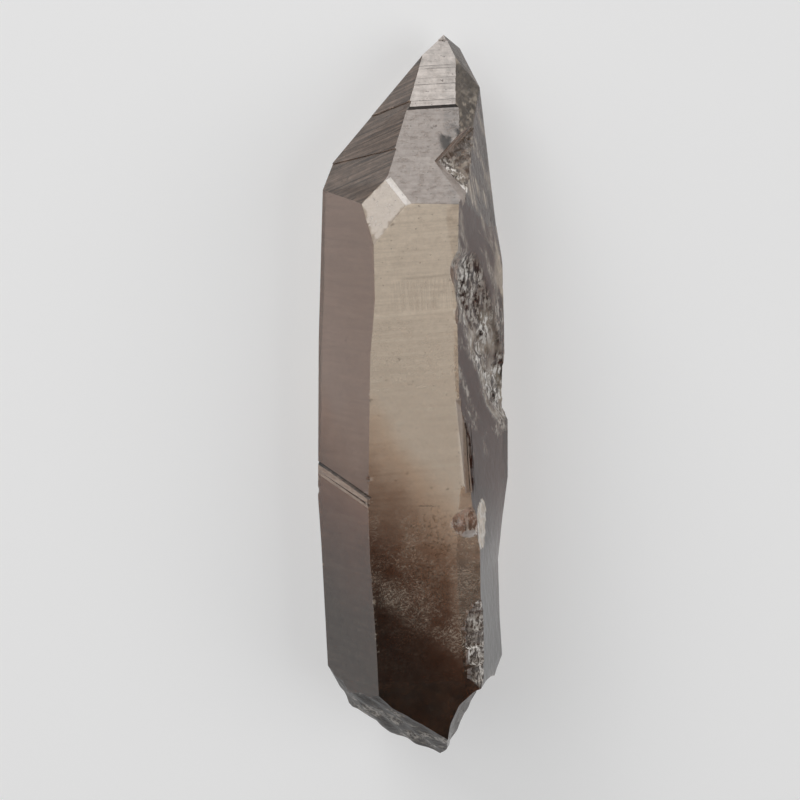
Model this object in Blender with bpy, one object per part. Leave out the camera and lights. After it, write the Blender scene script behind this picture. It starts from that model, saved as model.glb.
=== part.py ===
"""A smoky quartz crystal: a six-sided prism with a pointed end and a broken root.

The crystal lies along Y with its point towards +Y, rests on its flat back face at z = 0 and shows
its broad front face upwards. Every size is the real size in metres. The whole crystal is one
solid: a loft of six-sided sections, planed to the faces of its point, then chipped and broken.
"""

import math

import bmesh
import bpy
import numpy as np
from mathutils import Matrix, Vector

MM = 0.001

# Driving sizes
DEPTH = 29.0 * MM
EDGE_HEIGHT = 14.6 * MM
FACE_TURN = math.radians(60.0)
POINT_SLOPE = math.radians(38.2)

# Middle of the crystal's extent, which stands over the origin
MIDDLE = Vector((0.275, -0.797, 0.0)) * MM

# Long edges of the prism, each as (y, x): front left, left, front right and right
FRONT_LEFT_EDGE = MM * np.array([
    (-67.0, -4.5), (-50.0, -5.8), (-40.0, -6.5), (-27.0, -7.7), (-18.0, -8.2),
    (8.0, -8.35), (16.8, -7.75), (26.0, -8.1), (64.0, -8.1)])
LEFT_EDGE = MM * np.array([
    (-67.0, -12.4), (-48.0, -13.9), (-26.5, -15.4), (-18.5, -16.1), (8.8, -16.45), (64.0, -15.9)])
FRONT_RIGHT_EDGE = MM * np.array([
    (-67.0, 12.2), (-46.0, 11.7), (-25.0, 10.9), (-16.0, 9.2), (-6.0, 8.0), (-1.0, 6.9),
    (8.0, 6.4), (16.0, 6.0), (64.0, 5.8)])
RIGHT_EDGE = MM * np.array([
    (-67.0, 17.0), (-46.5, 17.0), (-40.0, 16.4), (-29.5, 15.8), (-22.0, 16.3), (-14.6, 17.0),
    (-3.3, 16.6), (3.2, 15.9), (12.9, 15.5), (24.0, 14.9), (29.0, 13.9), (64.0, 12.6)])
RIGHT_EDGE_HEIGHT = MM * np.array([(-67.0, 11.5), (-30.0, 12.5), (0.0, 14.5), (64.0, 14.6)])

# Corners of the pointed end
TIP = Vector((4.5, 61.3, 7.2)) * MM
FRONT_LEFT_TOP = Vector((1.1, 58.2, 9.7)) * MM
FRONT_RIGHT_TOP = Vector((6.25, 57.5, 10.2)) * MM
LEFT_SHOULDER = Vector((-16.13, 35.06, 14.7)) * MM
LEFT_SHOULDER_FRONT = Vector((-10.06, 33.42, 25.42)) * MM
BACK_RIDGE_FOOT = Vector((-14.8, 38.7, 11.8)) * MM
FRONT_SLOPE_FOOT = Vector((0.0, 33.1, 29.0)) * MM
RIGHT_RIDGE_TOP = Vector((7.5, 59.2, 5.05)) * MM
RIGHT_RIDGE_FOOT = Vector((10.55, 53.4, 9.0)) * MM
RIGHT_BACK_FOOT = Vector((11.8, 48.7, 8.0)) * MM
STEEP_RIGHT_FOOT = Vector((13.2, 32.0, 14.0)) * MM
STEEP_RIGHT_MIDDLE = Vector((9.66, 48.6, 14.5)) * MM
STEEP_RIGHT_OUTER = Vector((11.7, 48.7, 10.0)) * MM
FROSTED_FOOT = Vector((6.2, 47.2, 18.3)) * MM

# The kite-shaped corner face and the narrow bright facet beside it
KITE_NORMAL = Vector((-0.418, 0.330, 0.847)).normalized()
KITE_BOTTOM = Vector((-8.15, 26.0, 29.0)) * MM
NARROW_FACET_POINT = Vector((-2.52, 33.03, 28.88)) * MM

# Growth steps
FRONT_STEP_HEIGHT = 0.35 * MM
FRONT_STEP_START = Vector((-2.24, 48.37, 16.99)) * MM
FRONT_STEP_END = Vector((6.19, 49.04, 16.46)) * MM
LEFT_STEPS = (
    (Vector((-7.64, 47.36, 11.09)) * MM, Vector((-1.55, 50.06, 16.32)) * MM, 0.22 * MM),
    (Vector((-14.55, 39.06, 11.84)) * MM, Vector((-10.66, 40.27, 15.84)) * MM, 0.38 * MM))
STEP_SLAB_HEIGHT = 12.0 * MM
STEP_SLAB_SPAN = 60.0 * MM

# Grooves scored across a face: two ends on the face, width, depth and the face's outward normal
LEFT_NORMAL = Vector((-math.sin(FACE_TURN), 0.0, math.cos(FACE_TURN)))
UP = Vector((0.0, 0.0, 1.0))
GROOVES = (
    ("left_crack", Vector((-17.2, -12.1, 13.1)) * MM, Vector((-7.9, -16.1, 29.1)) * MM,
     0.75 * MM, 0.32 * MM, LEFT_NORMAL),
    ("left_crack_lower", Vector((-17.1, -13.4, 13.1)) * MM, Vector((-7.9, -17.4, 29.1)) * MM,
     0.25 * MM, 0.14 * MM, LEFT_NORMAL),
    ("front_line_upper", Vector((-3.0, 21.9, 29.0)) * MM, Vector((6.4, 22.7, 29.0)) * MM,
     0.35 * MM, 0.07 * MM, UP),
    ("front_line_lower", Vector((-8.6, 16.5, 29.0)) * MM, Vector((6.4, 17.85, 29.0)) * MM,
     0.40 * MM, 0.09 * MM, UP))

# A groove's bar: its reach from its middle to a corner in groove depths, and the groove's opening
# in half widths of the bar
GROOVE_BAR = 4.0 / 3.0
GROOVE_FLARE = 1.2

# The narrow bevel along the front right edge: its front line and its right line
BEVEL_FRONT = (Vector((6.0, 0.6, 29.0)) * MM, Vector((8.0, -15.2, 29.0)) * MM)
BEVEL_SLOPE = math.radians(27.0)
BEVEL_SLAB_WIDTH = 14.0 * MM
BEVEL_SLAB_HEIGHT = 5.0 * MM

# The open notch at the right of the front slope
NOTCH_APEX = Vector((2.1, 40.1, 23.5)) * MM
NOTCH_UPPER = Vector((8.9, 47.1, 18.0)) * MM
NOTCH_LOWER = Vector((6.7, 33.5, 28.5)) * MM
NOTCH_DEPTH = 1.3 * MM
NOTCH_OUTER_DEPTH = 2.5 * MM
NOTCH_REACH = 8.0 * MM

# Shell-shaped chips: centre and half lengths in mm, turn about the long axis and about the upright
CHIPS = (
    (Vector((6.6, 21.0, 30.1)), Vector((2.2, 3.4, 2.1)), 20.0, 24.0),
    (Vector((6.5, 15.2, 29.7)), Vector((0.9, 2.5, 1.4)), 15.0, -6.0),
    (Vector((6.9, 9.4, 29.7)), Vector((0.8, 1.9, 1.2)), 15.0, 4.0),
    (Vector((8.6, -20.4, 30.1)), Vector((3.1, 3.0, 2.3)), 25.0, 40.0),
    (Vector((-16.6, -17.2, 14.5)), Vector((0.7, 1.2, 0.9)), 0.0, 0.0),
    (Vector((-8.4, -12.9, 29.3)), Vector((0.5, 0.8, 0.6)), 0.0, 0.0),
    (Vector((-8.5, -17.0, 29.3)), Vector((0.55, 1.3, 0.65)), 0.0, 0.0),
    (Vector((14.6, -22.4, 24.9)), Vector((1.6, 4.4, 3.2)), 20.0, 0.0),
    (Vector((16.7, 18.6, 14.4)), Vector((1.85, 1.8, 3.0)), 0.0, 0.0),
    (Vector((12.9, 48.4, 10.0)), Vector((1.5, 0.8, 3.0)), 0.0, 0.0),
    (Vector((2.6, 61.3, 9.6)), Vector((1.3, 1.1, 0.9)), 0.0, 30.0),
    (Vector((5.7, 61.9, 8.8)), Vector((1.1, 0.9, 0.9)), 0.0, -30.0),
    (Vector((17.0, -58.5, 30.0)), Vector((10.3, 10.8, 21.0)), 0.0, 0.0))
CHIP_DETAIL = 3
CHIP_ROUGHNESS = 0.13
CHIP_NOISE_CELL = 0.8
CHIP_NOISE_SLANT = 0.7
CHIP_SEED = 60

# The stair of small broken steps down the front right edge near the root
STAIR_TOP = -33.2 * MM
STAIR_FOOT = -49.0 * MM
STAIR_COUNT = 11
STAIR_RISE = 0.55 * MM
STAIR_INSET = 2.4 * MM
STAIR_WIDTH = 6.5 * MM
STAIR_SLOPE = 0.62
STAIR_CELLS_ACROSS = 8
STAIR_CELLS_PER_STEP = 4

# How a step's inset varies from step to step, and how the stair fades out at its two ends
STAIR_INSET_LEAST = 0.70
STAIR_INSET_RANGE = 0.45
STAIR_SEED = 9
STAIR_END_SHARE = 0.15
STAIR_END_GROWTH = 6.0

# The hackly right face: the grid of its surface, the slanting band that is broken deepest and
# how rough the face is there and near the root. Places across the face run from 0 to 1
RIGHT_FACE_WIDTH = 17.5 * MM
HACKLE_CELL = 1.25 * MM
HACKLE_FROM = -58.0 * MM
HACKLE_TO = 34.0 * MM
HACKLE_CLEARANCE = 0.35 * MM
HACKLE_BAND_DEPTH = 1.5 * MM
HACKLE_BAND_TOP = 24.5 * MM
HACKLE_BAND_FOOT = -2.5 * MM
HACKLE_TERRACES = 4.0
HACKLE_BAND_LEFT = 0.10
HACKLE_BAND_DRIFT = 0.86
HACKLE_BAND_SPREAD = 0.30
HACKLE_BAND_LEAST = 0.35
HACKLE_ACROSS_START = -0.12
HACKLE_ACROSS_SPAN = 1.24
HACKLE_GAIN = 1.45
HACKLE_NOISE_WIDTH = 9.0 * MM
HACKLE_NOISE_CELL = 4.2 * MM
HACKLE_SEED = 5
HACKLE_OUTWARD = Vector((0.9, 0.0, 0.45))
ROOT_ROUGH_FROM = 44.0 * MM
ROOT_ROUGH_TO = 50.0 * MM
ROOT_ROUGH_DEPTH = 0.7 * MM
ROOT_ROUGH_CELL = 3.4 * MM

# The broken root: shell-like breaks, each with a point on it in mm, its outward normal, how far it
# swells and the seed of its swelling
ROOT_CELL = 1.35 * MM
ROOT_HALF_SIZE = 24.0 * MM
ROOT_BREAKS = (
    ("root_left_corner", Vector((-11.5, -52.0, 14.0)), Vector((-0.72, -0.64, 0.25)), 0.45 * MM, 11),
    ("root_left", Vector((-3.5, -58.7, 14.0)), Vector((-0.50, -0.80, 0.33)), 0.8 * MM, 17),
    ("root_right", Vector((8.9, -59.4, 14.0)), Vector((0.83, -0.55, 0.08)), 0.5 * MM, 37),
    ("root_back", Vector((4.0, -61.9, 17.0)), Vector((0.04, -0.86, -0.51)), 0.7 * MM, 41))
SWELL_CELL = 8.0 * MM
SWELL_DETAIL_CELL = 3.4 * MM
SWELL_DETAIL = 0.45
RIPPLE_CENTRE = (-9.0 * MM, 6.0 * MM)
RIPPLE_LENGTH = 5.2 * MM
RIPPLE_HEIGHT = 0.16 * MM
CUTTER_THICKNESS = 14.0 * MM

# Smoky quartz: body colour, polish and the bending of light
QUARTZ_COLOUR = (0.33, 0.25, 0.19, 1.0)
QUARTZ_ROUGHNESS = 0.06
QUARTZ_IOR = 1.544


def along(edge, y):
    """Value of a long edge at the station y."""
    return float(np.interp(y, edge[:, 0], edge[:, 1]))


def prism_section(y):
    """The six corners of the prism at y, in order round the crystal from the front left."""
    run = 1.0 / math.tan(FACE_TURN)
    front_left = along(FRONT_LEFT_EDGE, y)
    left = along(LEFT_EDGE, y)
    front_right = along(FRONT_RIGHT_EDGE, y)
    right = along(RIGHT_EDGE, y)
    right_height = along(RIGHT_EDGE_HEIGHT, y)
    return [
        Vector((front_left, y, DEPTH)),
        Vector((left, y, EDGE_HEIGHT)),
        Vector((left + EDGE_HEIGHT * run, y, 0.0)),
        Vector((right - right_height * run, y, 0.0)),
        Vector((right, y, right_height)),
        Vector((front_right, y, DEPTH))]


def lofted_prism():
    """The long six-sided body as a loft through a section at every bend of its edges."""
    edges = (FRONT_LEFT_EDGE, LEFT_EDGE, FRONT_RIGHT_EDGE, RIGHT_EDGE, RIGHT_EDGE_HEIGHT)
    stations = np.unique(np.concatenate([edge[:, 0] for edge in edges]))
    bm = bmesh.new()
    rings = [[bm.verts.new(corner) for corner in prism_section(y)] for y in stations]
    for ring, following in zip(rings, rings[1:]):
        for index in range(6):
            after = (index + 1) % 6
            bm.faces.new((ring[index], ring[after], following[after], following[index]))
    bm.faces.new(rings[0])
    bm.faces.new(rings[-1])
    bmesh.ops.triangulate(bm, faces=[face for face in bm.faces if len(face.verts) == 4])
    bmesh.ops.recalc_face_normals(bm, faces=bm.faces)
    return bm


def slope_normal(turn):
    """Outward normal of an ideal face of the point, turned about Y from the front face."""
    level = math.cos(POINT_SLOPE)
    return Vector((math.sin(turn) * level, math.sin(POINT_SLOPE), math.cos(turn) * level))


def plane_through(first, second, third, outward):
    """A plane through three corners, as a point and the normal on the side of outward."""
    normal = (second - first).cross(third - first).normalized()
    if normal.dot(outward) < 0.0:
        normal.negate()
    return first, normal


def point_planes():
    """The faces of the pointed end, as (point, outward normal)."""
    front = slope_normal(0.0)
    left = slope_normal(-FACE_TURN)
    return [
        (FRONT_SLOPE_FOOT + front * FRONT_STEP_HEIGHT, front),
        plane_through(LEFT_SHOULDER, LEFT_SHOULDER_FRONT, FRONT_LEFT_TOP, left),
        plane_through(BACK_RIDGE_FOOT, FRONT_LEFT_TOP, TIP, slope_normal(-2.0 * FACE_TURN)),
        (TIP, slope_normal(3.0 * FACE_TURN)),
        (TIP, slope_normal(FACE_TURN)),
        plane_through(FROSTED_FOOT, FRONT_RIGHT_TOP, STEEP_RIGHT_MIDDLE, slope_normal(FACE_TURN)),
        plane_through(STEEP_RIGHT_FOOT, STEEP_RIGHT_MIDDLE, STEEP_RIGHT_OUTER, Vector((1, 0, 0))),
        plane_through(RIGHT_RIDGE_TOP, RIGHT_RIDGE_FOOT, RIGHT_BACK_FOOT, Vector((1, 0, 0)))]


def plane_off(bm, point, normal):
    """Cuts away what lies outside a plane and closes the cut with one flat face."""
    geometry = bm.verts[:] + bm.edges[:] + bm.faces[:]
    bmesh.ops.bisect_plane(
        bm, geom=geometry, dist=1e-7, plane_co=point, plane_no=normal, clear_outer=True)
    rim = [edge for edge in bm.edges if edge.is_boundary]
    if rim:
        bmesh.ops.holes_fill(bm, edges=rim)


def frame_from(normal, along_hint):
    """A rotation whose Z is the normal and whose X follows the hint as nearly as it can."""
    z_axis = normal.normalized()
    x_axis = (along_hint - z_axis * along_hint.dot(z_axis)).normalized()
    y_axis = z_axis.cross(x_axis)
    return Matrix((x_axis, y_axis, z_axis)).transposed()


def lattice(i, j, seed):
    """A repeatable random value between 0 and 1 for each whole-number point (i, j)."""
    wave = np.sin(i * 127.1 + j * 311.7 + seed * 74.7) * 43758.5453
    return wave - np.floor(wave)


def value_noise(u, v, cell, seed):
    """Smooth noise between -1 and 1: lattice values blended by 3t^2 - 2t^3 in each cell."""
    x = u / cell
    y = v / cell
    i = np.floor(x)
    j = np.floor(y)
    s = (x - i) ** 2 * (3.0 - 2.0 * (x - i))
    t = (y - j) ** 2 * (3.0 - 2.0 * (y - j))
    near = lattice(i, j, seed) * (1.0 - s) + lattice(i + 1.0, j, seed) * s
    far = lattice(i, j + 1.0, seed) * (1.0 - s) + lattice(i + 1.0, j + 1.0, seed) * s
    return 2.0 * (near * (1.0 - t) + far * t) - 1.0


def gentle_step(value, low, high):
    """0 below low, 1 above high, and a smooth rise between."""
    t = np.clip((value - low) / (high - low), 0.0, 1.0)
    return t * t * (3.0 - 2.0 * t)


def sheet_cutter(name, surface, columns, rows, outward):
    """A closed slab whose inner side is the surface of two parameters, each from 0 to 1."""
    bm = bmesh.new()
    bmesh.ops.create_grid(bm, x_segments=columns, y_segments=rows, size=0.5)
    verts = bm.verts[:]
    u = np.array([vert.co.x + 0.5 for vert in verts])
    v = np.array([vert.co.y + 0.5 for vert in verts])
    for vert, place in zip(verts, surface(u, v)):
        vert.co = Vector(place)
    grown = bmesh.ops.extrude_face_region(bm, geom=bm.faces[:])
    moved = [item for item in grown["geom"] if isinstance(item, bmesh.types.BMVert)]
    bmesh.ops.translate(bm, verts=moved, vec=outward.normalized() * CUTTER_THICKNESS)
    bmesh.ops.recalc_face_normals(bm, faces=bm.faces)
    return cutter_object(name, bm)


def root_surface(point, normal, swell, seed):
    """One shell-like break: a plane with a broad swell and ripples round one corner."""
    turn = frame_from(normal, Vector((0.0, 0.0, 1.0)))
    centre = np.array(point * MM)
    axes = np.array(turn)

    def surface(u, v):
        a = (u - 0.5) * 2.0 * ROOT_HALF_SIZE
        b = (v - 0.5) * 2.0 * ROOT_HALF_SIZE
        reach = np.hypot(a - RIPPLE_CENTRE[0], b - RIPPLE_CENTRE[1])
        height = swell * value_noise(a, b, SWELL_CELL, seed)
        height += SWELL_DETAIL * swell * value_noise(a, b, SWELL_DETAIL_CELL, seed + 1)
        height += RIPPLE_HEIGHT * np.sin(2.0 * np.pi * reach / RIPPLE_LENGTH)
        local = np.stack((a, b, height), axis=-1)
        return centre + local @ axes.T

    return surface


def hackle_depth(y, across):
    """How deep the right face is broken, from y and the place across it (0 front, 1 right)."""
    travel = (HACKLE_BAND_TOP - y) / (HACKLE_BAND_TOP - HACKLE_BAND_FOOT)
    middle = HACKLE_BAND_LEFT + HACKLE_BAND_DRIFT * travel
    band = np.exp(-((across - middle) / HACKLE_BAND_SPREAD) ** 2)
    band *= gentle_step(travel, -0.08, 0.06) * (1.0 - gentle_step(travel, 0.98, 1.12))
    wide = across * HACKLE_NOISE_WIDTH
    rough = 0.5 + 0.5 * value_noise(wide - 0.5 * y, y, HACKLE_NOISE_CELL, HACKLE_SEED)
    terraces = np.floor(rough * HACKLE_TERRACES) / (HACKLE_TERRACES - 1.0)
    depth = HACKLE_BAND_DEPTH * band * (HACKLE_BAND_LEAST + (1.0 - HACKLE_BAND_LEAST) * terraces)
    lower = gentle_step(-y, ROOT_ROUGH_FROM, ROOT_ROUGH_TO)
    knobs = 0.5 + 0.5 * value_noise(wide, y, ROOT_ROUGH_CELL, HACKLE_SEED + 3)
    return depth + ROOT_ROUGH_DEPTH * lower * knobs


def right_face_surface(u, v):
    """The right face as it is broken: the plane between its two edges, sunk by the hackle."""
    y = HACKLE_FROM + v * (HACKLE_TO - HACKLE_FROM)
    across = HACKLE_ACROSS_START + u * HACKLE_ACROSS_SPAN
    front_x = np.interp(y, FRONT_RIGHT_EDGE[:, 0], FRONT_RIGHT_EDGE[:, 1])
    right_x = np.interp(y, RIGHT_EDGE[:, 0], RIGHT_EDGE[:, 1])
    right_z = np.interp(y, RIGHT_EDGE_HEIGHT[:, 0], RIGHT_EDGE_HEIGHT[:, 1])
    run_x = right_x - front_x
    run_z = right_z - DEPTH
    length = np.hypot(run_x, run_z)
    out_x = -run_z / length
    out_z = run_x / length
    lift = HACKLE_CLEARANCE - HACKLE_GAIN * hackle_depth(y, across)
    x = front_x + across * run_x + out_x * lift
    z = DEPTH + across * run_z + out_z * lift
    return np.stack((x, y, z), axis=-1)


def box_cutter(name, centre, turn, size):
    """A turned box, with its size applied to its mesh."""
    bm = bmesh.new()
    bmesh.ops.create_cube(bm, size=1.0)
    shape = Matrix.Translation(centre) @ turn.to_4x4() @ Matrix.Diagonal((*size, 1.0))
    bmesh.ops.transform(bm, matrix=shape, verts=bm.verts)
    return cutter_object(name, bm)


def step_cutter(name, start, end, plane_point, normal, drop, down):
    """A slab that lowers a slope below the line from start to end by the drop."""
    turn = frame_from(normal, end - start)
    x_axis, y_axis, z_axis = (turn.col[0], turn.col[1], turn.col[2])
    if y_axis.dot(down) < 0.0:
        y_axis = -y_axis
    middle = (start + end) / 2.0
    middle = middle - z_axis * (middle - plane_point).dot(z_axis)
    centre = middle + y_axis * STEP_SLAB_SPAN / 2.0 + z_axis * (STEP_SLAB_HEIGHT / 2.0 - drop)
    return box_cutter(name, centre, turn, (STEP_SLAB_SPAN, STEP_SLAB_SPAN, STEP_SLAB_HEIGHT))


def groove_cutter(name, start, end, width, depth, normal):
    """A three-sided bar laid along a line so that one of its corners scores the face."""
    bm = bmesh.new()
    bmesh.ops.create_cone(
        bm, cap_ends=True, segments=3, radius1=1.0, radius2=1.0, depth=1.0)
    corner = bm.verts[:][0].co
    facing_in = Matrix.Rotation(math.pi - math.atan2(corner.y, corner.x), 3, "Z")
    bmesh.ops.rotate(bm, verts=bm.verts, cent=(0, 0, 0), matrix=facing_in)
    half_width = width / GROOVE_FLARE
    size = Matrix.Diagonal((GROOVE_BAR * depth, half_width, (end - start).length, 1.0))
    lift = normal.normalized() * (GROOVE_BAR - 1.0) * depth
    turn = frame_from(end - start, normal)
    shape = Matrix.Translation((start + end) / 2.0 + lift) @ turn.to_4x4() @ size
    bmesh.ops.transform(bm, matrix=shape, verts=bm.verts)
    bmesh.ops.recalc_face_normals(bm, faces=bm.faces)
    return cutter_object(name, bm)


def chip_cutter(name, centre, half, roll, turn, seed):
    """A rough shell-shaped scoop: a ball, knobbled, stretched and turned."""
    bm = bmesh.new()
    bmesh.ops.create_icosphere(bm, subdivisions=CHIP_DETAIL, radius=1.0)
    verts = bm.verts[:]
    place = np.array([vert.co[:] for vert in verts])
    bump = value_noise(
        place[:, 0] + CHIP_NOISE_SLANT * place[:, 2], place[:, 1] - place[:, 2],
        CHIP_NOISE_CELL, seed)
    for vert, height in zip(verts, bump):
        vert.co *= 1.0 + CHIP_ROUGHNESS * float(height)
    spin = Matrix.Rotation(math.radians(turn), 4, "Z") @ Matrix.Rotation(math.radians(roll), 4, "Y")
    shape = Matrix.Translation(centre * MM) @ spin @ Matrix.Diagonal((*(half * MM), 1.0))
    bmesh.ops.transform(bm, matrix=shape, verts=bm.verts)
    return cutter_object(name, bm)


def notch_cutter():
    """The wedge of the notch: its three corners on the slope, sunk to a sloping floor."""
    normal = slope_normal(0.0)
    out = Vector((NOTCH_REACH, 0.0, 0.0))
    bm = bmesh.new()
    outline = ((NOTCH_APEX, NOTCH_DEPTH), (NOTCH_LOWER, NOTCH_DEPTH),
               (NOTCH_LOWER + out, NOTCH_OUTER_DEPTH), (NOTCH_UPPER + out, NOTCH_OUTER_DEPTH),
               (NOTCH_UPPER, NOTCH_DEPTH))
    base = [bm.verts.new(corner - normal * depth) for corner, depth in outline]
    bmesh.ops.triangle_fill(
        bm, use_beauty=True,
        edges=[bm.edges.new((base[k], base[(k + 1) % len(base)])) for k in range(len(base))])
    grown = bmesh.ops.extrude_face_region(bm, geom=bm.faces[:])
    moved = [item for item in grown["geom"] if isinstance(item, bmesh.types.BMVert)]
    bmesh.ops.translate(bm, verts=moved, vec=normal * CUTTER_THICKNESS)
    bmesh.ops.recalc_face_normals(bm, faces=bm.faces)
    return cutter_object("notch", bm)


def bevel_cutter():
    """The slanted slab that takes the narrow bevel off the front right edge."""
    start, end = BEVEL_FRONT
    along_edge = (end - start).normalized()
    normal = Vector((math.sin(BEVEL_SLOPE), 0.0, math.cos(BEVEL_SLOPE)))
    normal = (normal - along_edge * normal.dot(along_edge)).normalized()
    turn = frame_from(normal, along_edge)
    size = ((end - start).length, BEVEL_SLAB_WIDTH, BEVEL_SLAB_HEIGHT)
    centre = (start + end) / 2.0 + turn.col[2] * (BEVEL_SLAB_HEIGHT / 2.0)
    return box_cutter("edge_bevel", centre, turn, size)


def stair_surface(u, v):
    """A slope down to the right, from u, broken into steps along the edge, from v."""
    y = STAIR_TOP + v * (STAIR_FOOT - STAIR_TOP)
    tread = v * STAIR_COUNT
    number = np.floor(tread)
    rise = (tread - number) * STAIR_RISE
    vary = lattice(number, np.zeros_like(number), STAIR_SEED)
    inset = STAIR_INSET * (STAIR_INSET_LEAST + STAIR_INSET_RANGE * vary)
    edge = np.interp(y, FRONT_RIGHT_EDGE[:, 0], FRONT_RIGHT_EDGE[:, 1])
    ends = np.minimum(1.0, STAIR_END_GROWTH * np.minimum(v, 1.0 - v) + STAIR_END_SHARE)
    x = edge - STAIR_WIDTH / 2.0 + u * STAIR_WIDTH
    z = DEPTH + (edge - inset * ends - x) * STAIR_SLOPE - rise * ends * (x > edge - inset * ends)
    return np.stack((x, y, z), axis=-1)


def new_collection(name):
    """A collection of that name, linked to the scene."""
    collection = bpy.data.collections.new(name)
    bpy.context.scene.collection.children.link(collection)
    return collection


def mesh_object(name, bm, collection):
    """An object of that name from the bmesh, in the collection and set on the crystal's frame."""
    mesh = bpy.data.meshes.new(name)
    bm.to_mesh(mesh)
    bm.free()
    made = bpy.data.objects.new(name, mesh)
    made.parent = bpy.data.objects["crystal_frame"]
    collection.objects.link(made)
    return made


def cutter_object(name, bm):
    """A cutter: shown as wire and left out of renders."""
    made = mesh_object(name, bm, bpy.data.collections["cutters"])
    made.display_type = "WIRE"
    made.hide_render = True
    return made


def quartz_material():
    """Clear brown quartz."""
    material = bpy.data.materials.new("smoky_quartz")
    material.use_nodes = True
    shader = material.node_tree.nodes["Principled BSDF"]
    shader.inputs["Base Color"].default_value = QUARTZ_COLOUR
    shader.inputs["Roughness"].default_value = QUARTZ_ROUGHNESS
    shader.inputs["Metallic"].default_value = 0.0
    shader.inputs["IOR"].default_value = QUARTZ_IOR
    shader.inputs["Transmission Weight"].default_value = 1.0
    return material


def all_cutters():
    """Every cutter, in the order in which the crystal was worn and broken."""
    front = slope_normal(0.0)
    down = Vector((0.0, -1.0, 0.0))
    left_point, left_normal = plane_through(
        LEFT_SHOULDER, LEFT_SHOULDER_FRONT, FRONT_LEFT_TOP, slope_normal(-FACE_TURN))
    cutters = [step_cutter(
        "front_step", FRONT_STEP_START, FRONT_STEP_END,
        FRONT_SLOPE_FOOT + front * FRONT_STEP_HEIGHT, front, FRONT_STEP_HEIGHT, down)]
    cutters += [step_cutter(f"left_step_{index + 1}", start, end, left_point, left_normal, drop, down)
                for index, (start, end, drop) in enumerate(LEFT_STEPS)]
    cutters += [groove_cutter(*groove) for groove in GROOVES]
    cutters.append(bevel_cutter())
    columns = int(round(RIGHT_FACE_WIDTH * HACKLE_ACROSS_SPAN / HACKLE_CELL))
    rows = int(round((HACKLE_TO - HACKLE_FROM) / HACKLE_CELL))
    cutters.append(sheet_cutter(
        "hackly_right_face", right_face_surface, columns, rows, HACKLE_OUTWARD))
    cutters.append(notch_cutter())
    cutters.append(sheet_cutter(
        "edge_stair", stair_surface, STAIR_CELLS_ACROSS, STAIR_COUNT * STAIR_CELLS_PER_STEP, UP))
    cutters += [chip_cutter(f"chip_{index + 1:02d}", *chip, seed=CHIP_SEED + index)
                for index, chip in enumerate(CHIPS)]
    cells = int(round(2.0 * ROOT_HALF_SIZE / ROOT_CELL))
    cutters += [sheet_cutter(name, root_surface(point, normal, swell, seed), cells, cells, normal)
                for name, point, normal, swell, seed in ROOT_BREAKS]
    return cutters


def build_crystal():
    """Lofts the prism, planes the point, and adds the steps, chips and breaks."""
    parts = new_collection("smoky_quartz_crystal")
    new_collection("cutters").hide_render = True
    frame = bpy.data.objects.new("crystal_frame", None)
    frame.location = -MIDDLE
    parts.objects.link(frame)
    bm = lofted_prism()
    for point, normal in point_planes():
        plane_off(bm, point, normal)
    plane_off(bm, KITE_BOTTOM, KITE_NORMAL)
    plane_off(bm, NARROW_FACET_POINT, (KITE_NORMAL + slope_normal(0.0)).normalized())
    bmesh.ops.recalc_face_normals(bm, faces=bm.faces)
    crystal = mesh_object("crystal", bm, parts)
    crystal.data.materials.append(quartz_material())
    for cutter in all_cutters():
        cut = crystal.modifiers.new(cutter.name, "BOOLEAN")
        cut.operation = "DIFFERENCE"
        cut.solver = "EXACT"
        cut.object = cutter
    return crystal


for leftover in list(bpy.data.objects):
    bpy.data.objects.remove(leftover, do_unlink=True)
build_crystal()
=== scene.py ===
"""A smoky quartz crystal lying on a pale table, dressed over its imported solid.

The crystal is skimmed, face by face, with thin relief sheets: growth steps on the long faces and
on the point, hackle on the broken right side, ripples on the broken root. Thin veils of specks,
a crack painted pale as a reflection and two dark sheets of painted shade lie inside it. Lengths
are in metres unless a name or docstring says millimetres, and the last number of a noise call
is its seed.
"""

import logging
import math
from dataclasses import dataclass
from enum import Enum
from functools import cached_property
from typing import Sequence

import bmesh
import bpy
import numpy as np
from mathutils import Matrix


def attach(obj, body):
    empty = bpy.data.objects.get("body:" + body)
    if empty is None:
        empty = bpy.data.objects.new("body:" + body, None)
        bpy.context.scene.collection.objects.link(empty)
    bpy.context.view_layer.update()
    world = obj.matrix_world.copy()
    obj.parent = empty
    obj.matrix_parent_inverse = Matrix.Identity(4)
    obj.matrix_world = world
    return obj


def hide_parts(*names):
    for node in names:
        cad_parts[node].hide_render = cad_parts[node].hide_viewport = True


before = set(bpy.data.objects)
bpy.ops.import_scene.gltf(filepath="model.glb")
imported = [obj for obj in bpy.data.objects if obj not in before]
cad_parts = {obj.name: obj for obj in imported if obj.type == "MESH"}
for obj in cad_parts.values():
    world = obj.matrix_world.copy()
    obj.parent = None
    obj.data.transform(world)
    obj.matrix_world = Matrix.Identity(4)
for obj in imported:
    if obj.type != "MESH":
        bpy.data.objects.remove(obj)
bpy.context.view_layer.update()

log = logging.getLogger("smoky_quartz")

Array = np.ndarray
Triple = tuple[float, float, float]
Pair = tuple[float, float]
Socket = bpy.types.NodeSocket

MM = 0.001
MIDDLE = np.array([0.275, -0.797, 0.0])
DEPTH = 29.0
EDGE_HEIGHT = 14.6
LONG_WIDTH = 17.0
RIGHT_WIDTH = 17.5
FACE_TURN = math.radians(60.0)
POINT_SLOPE = math.radians(38.2)


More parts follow.
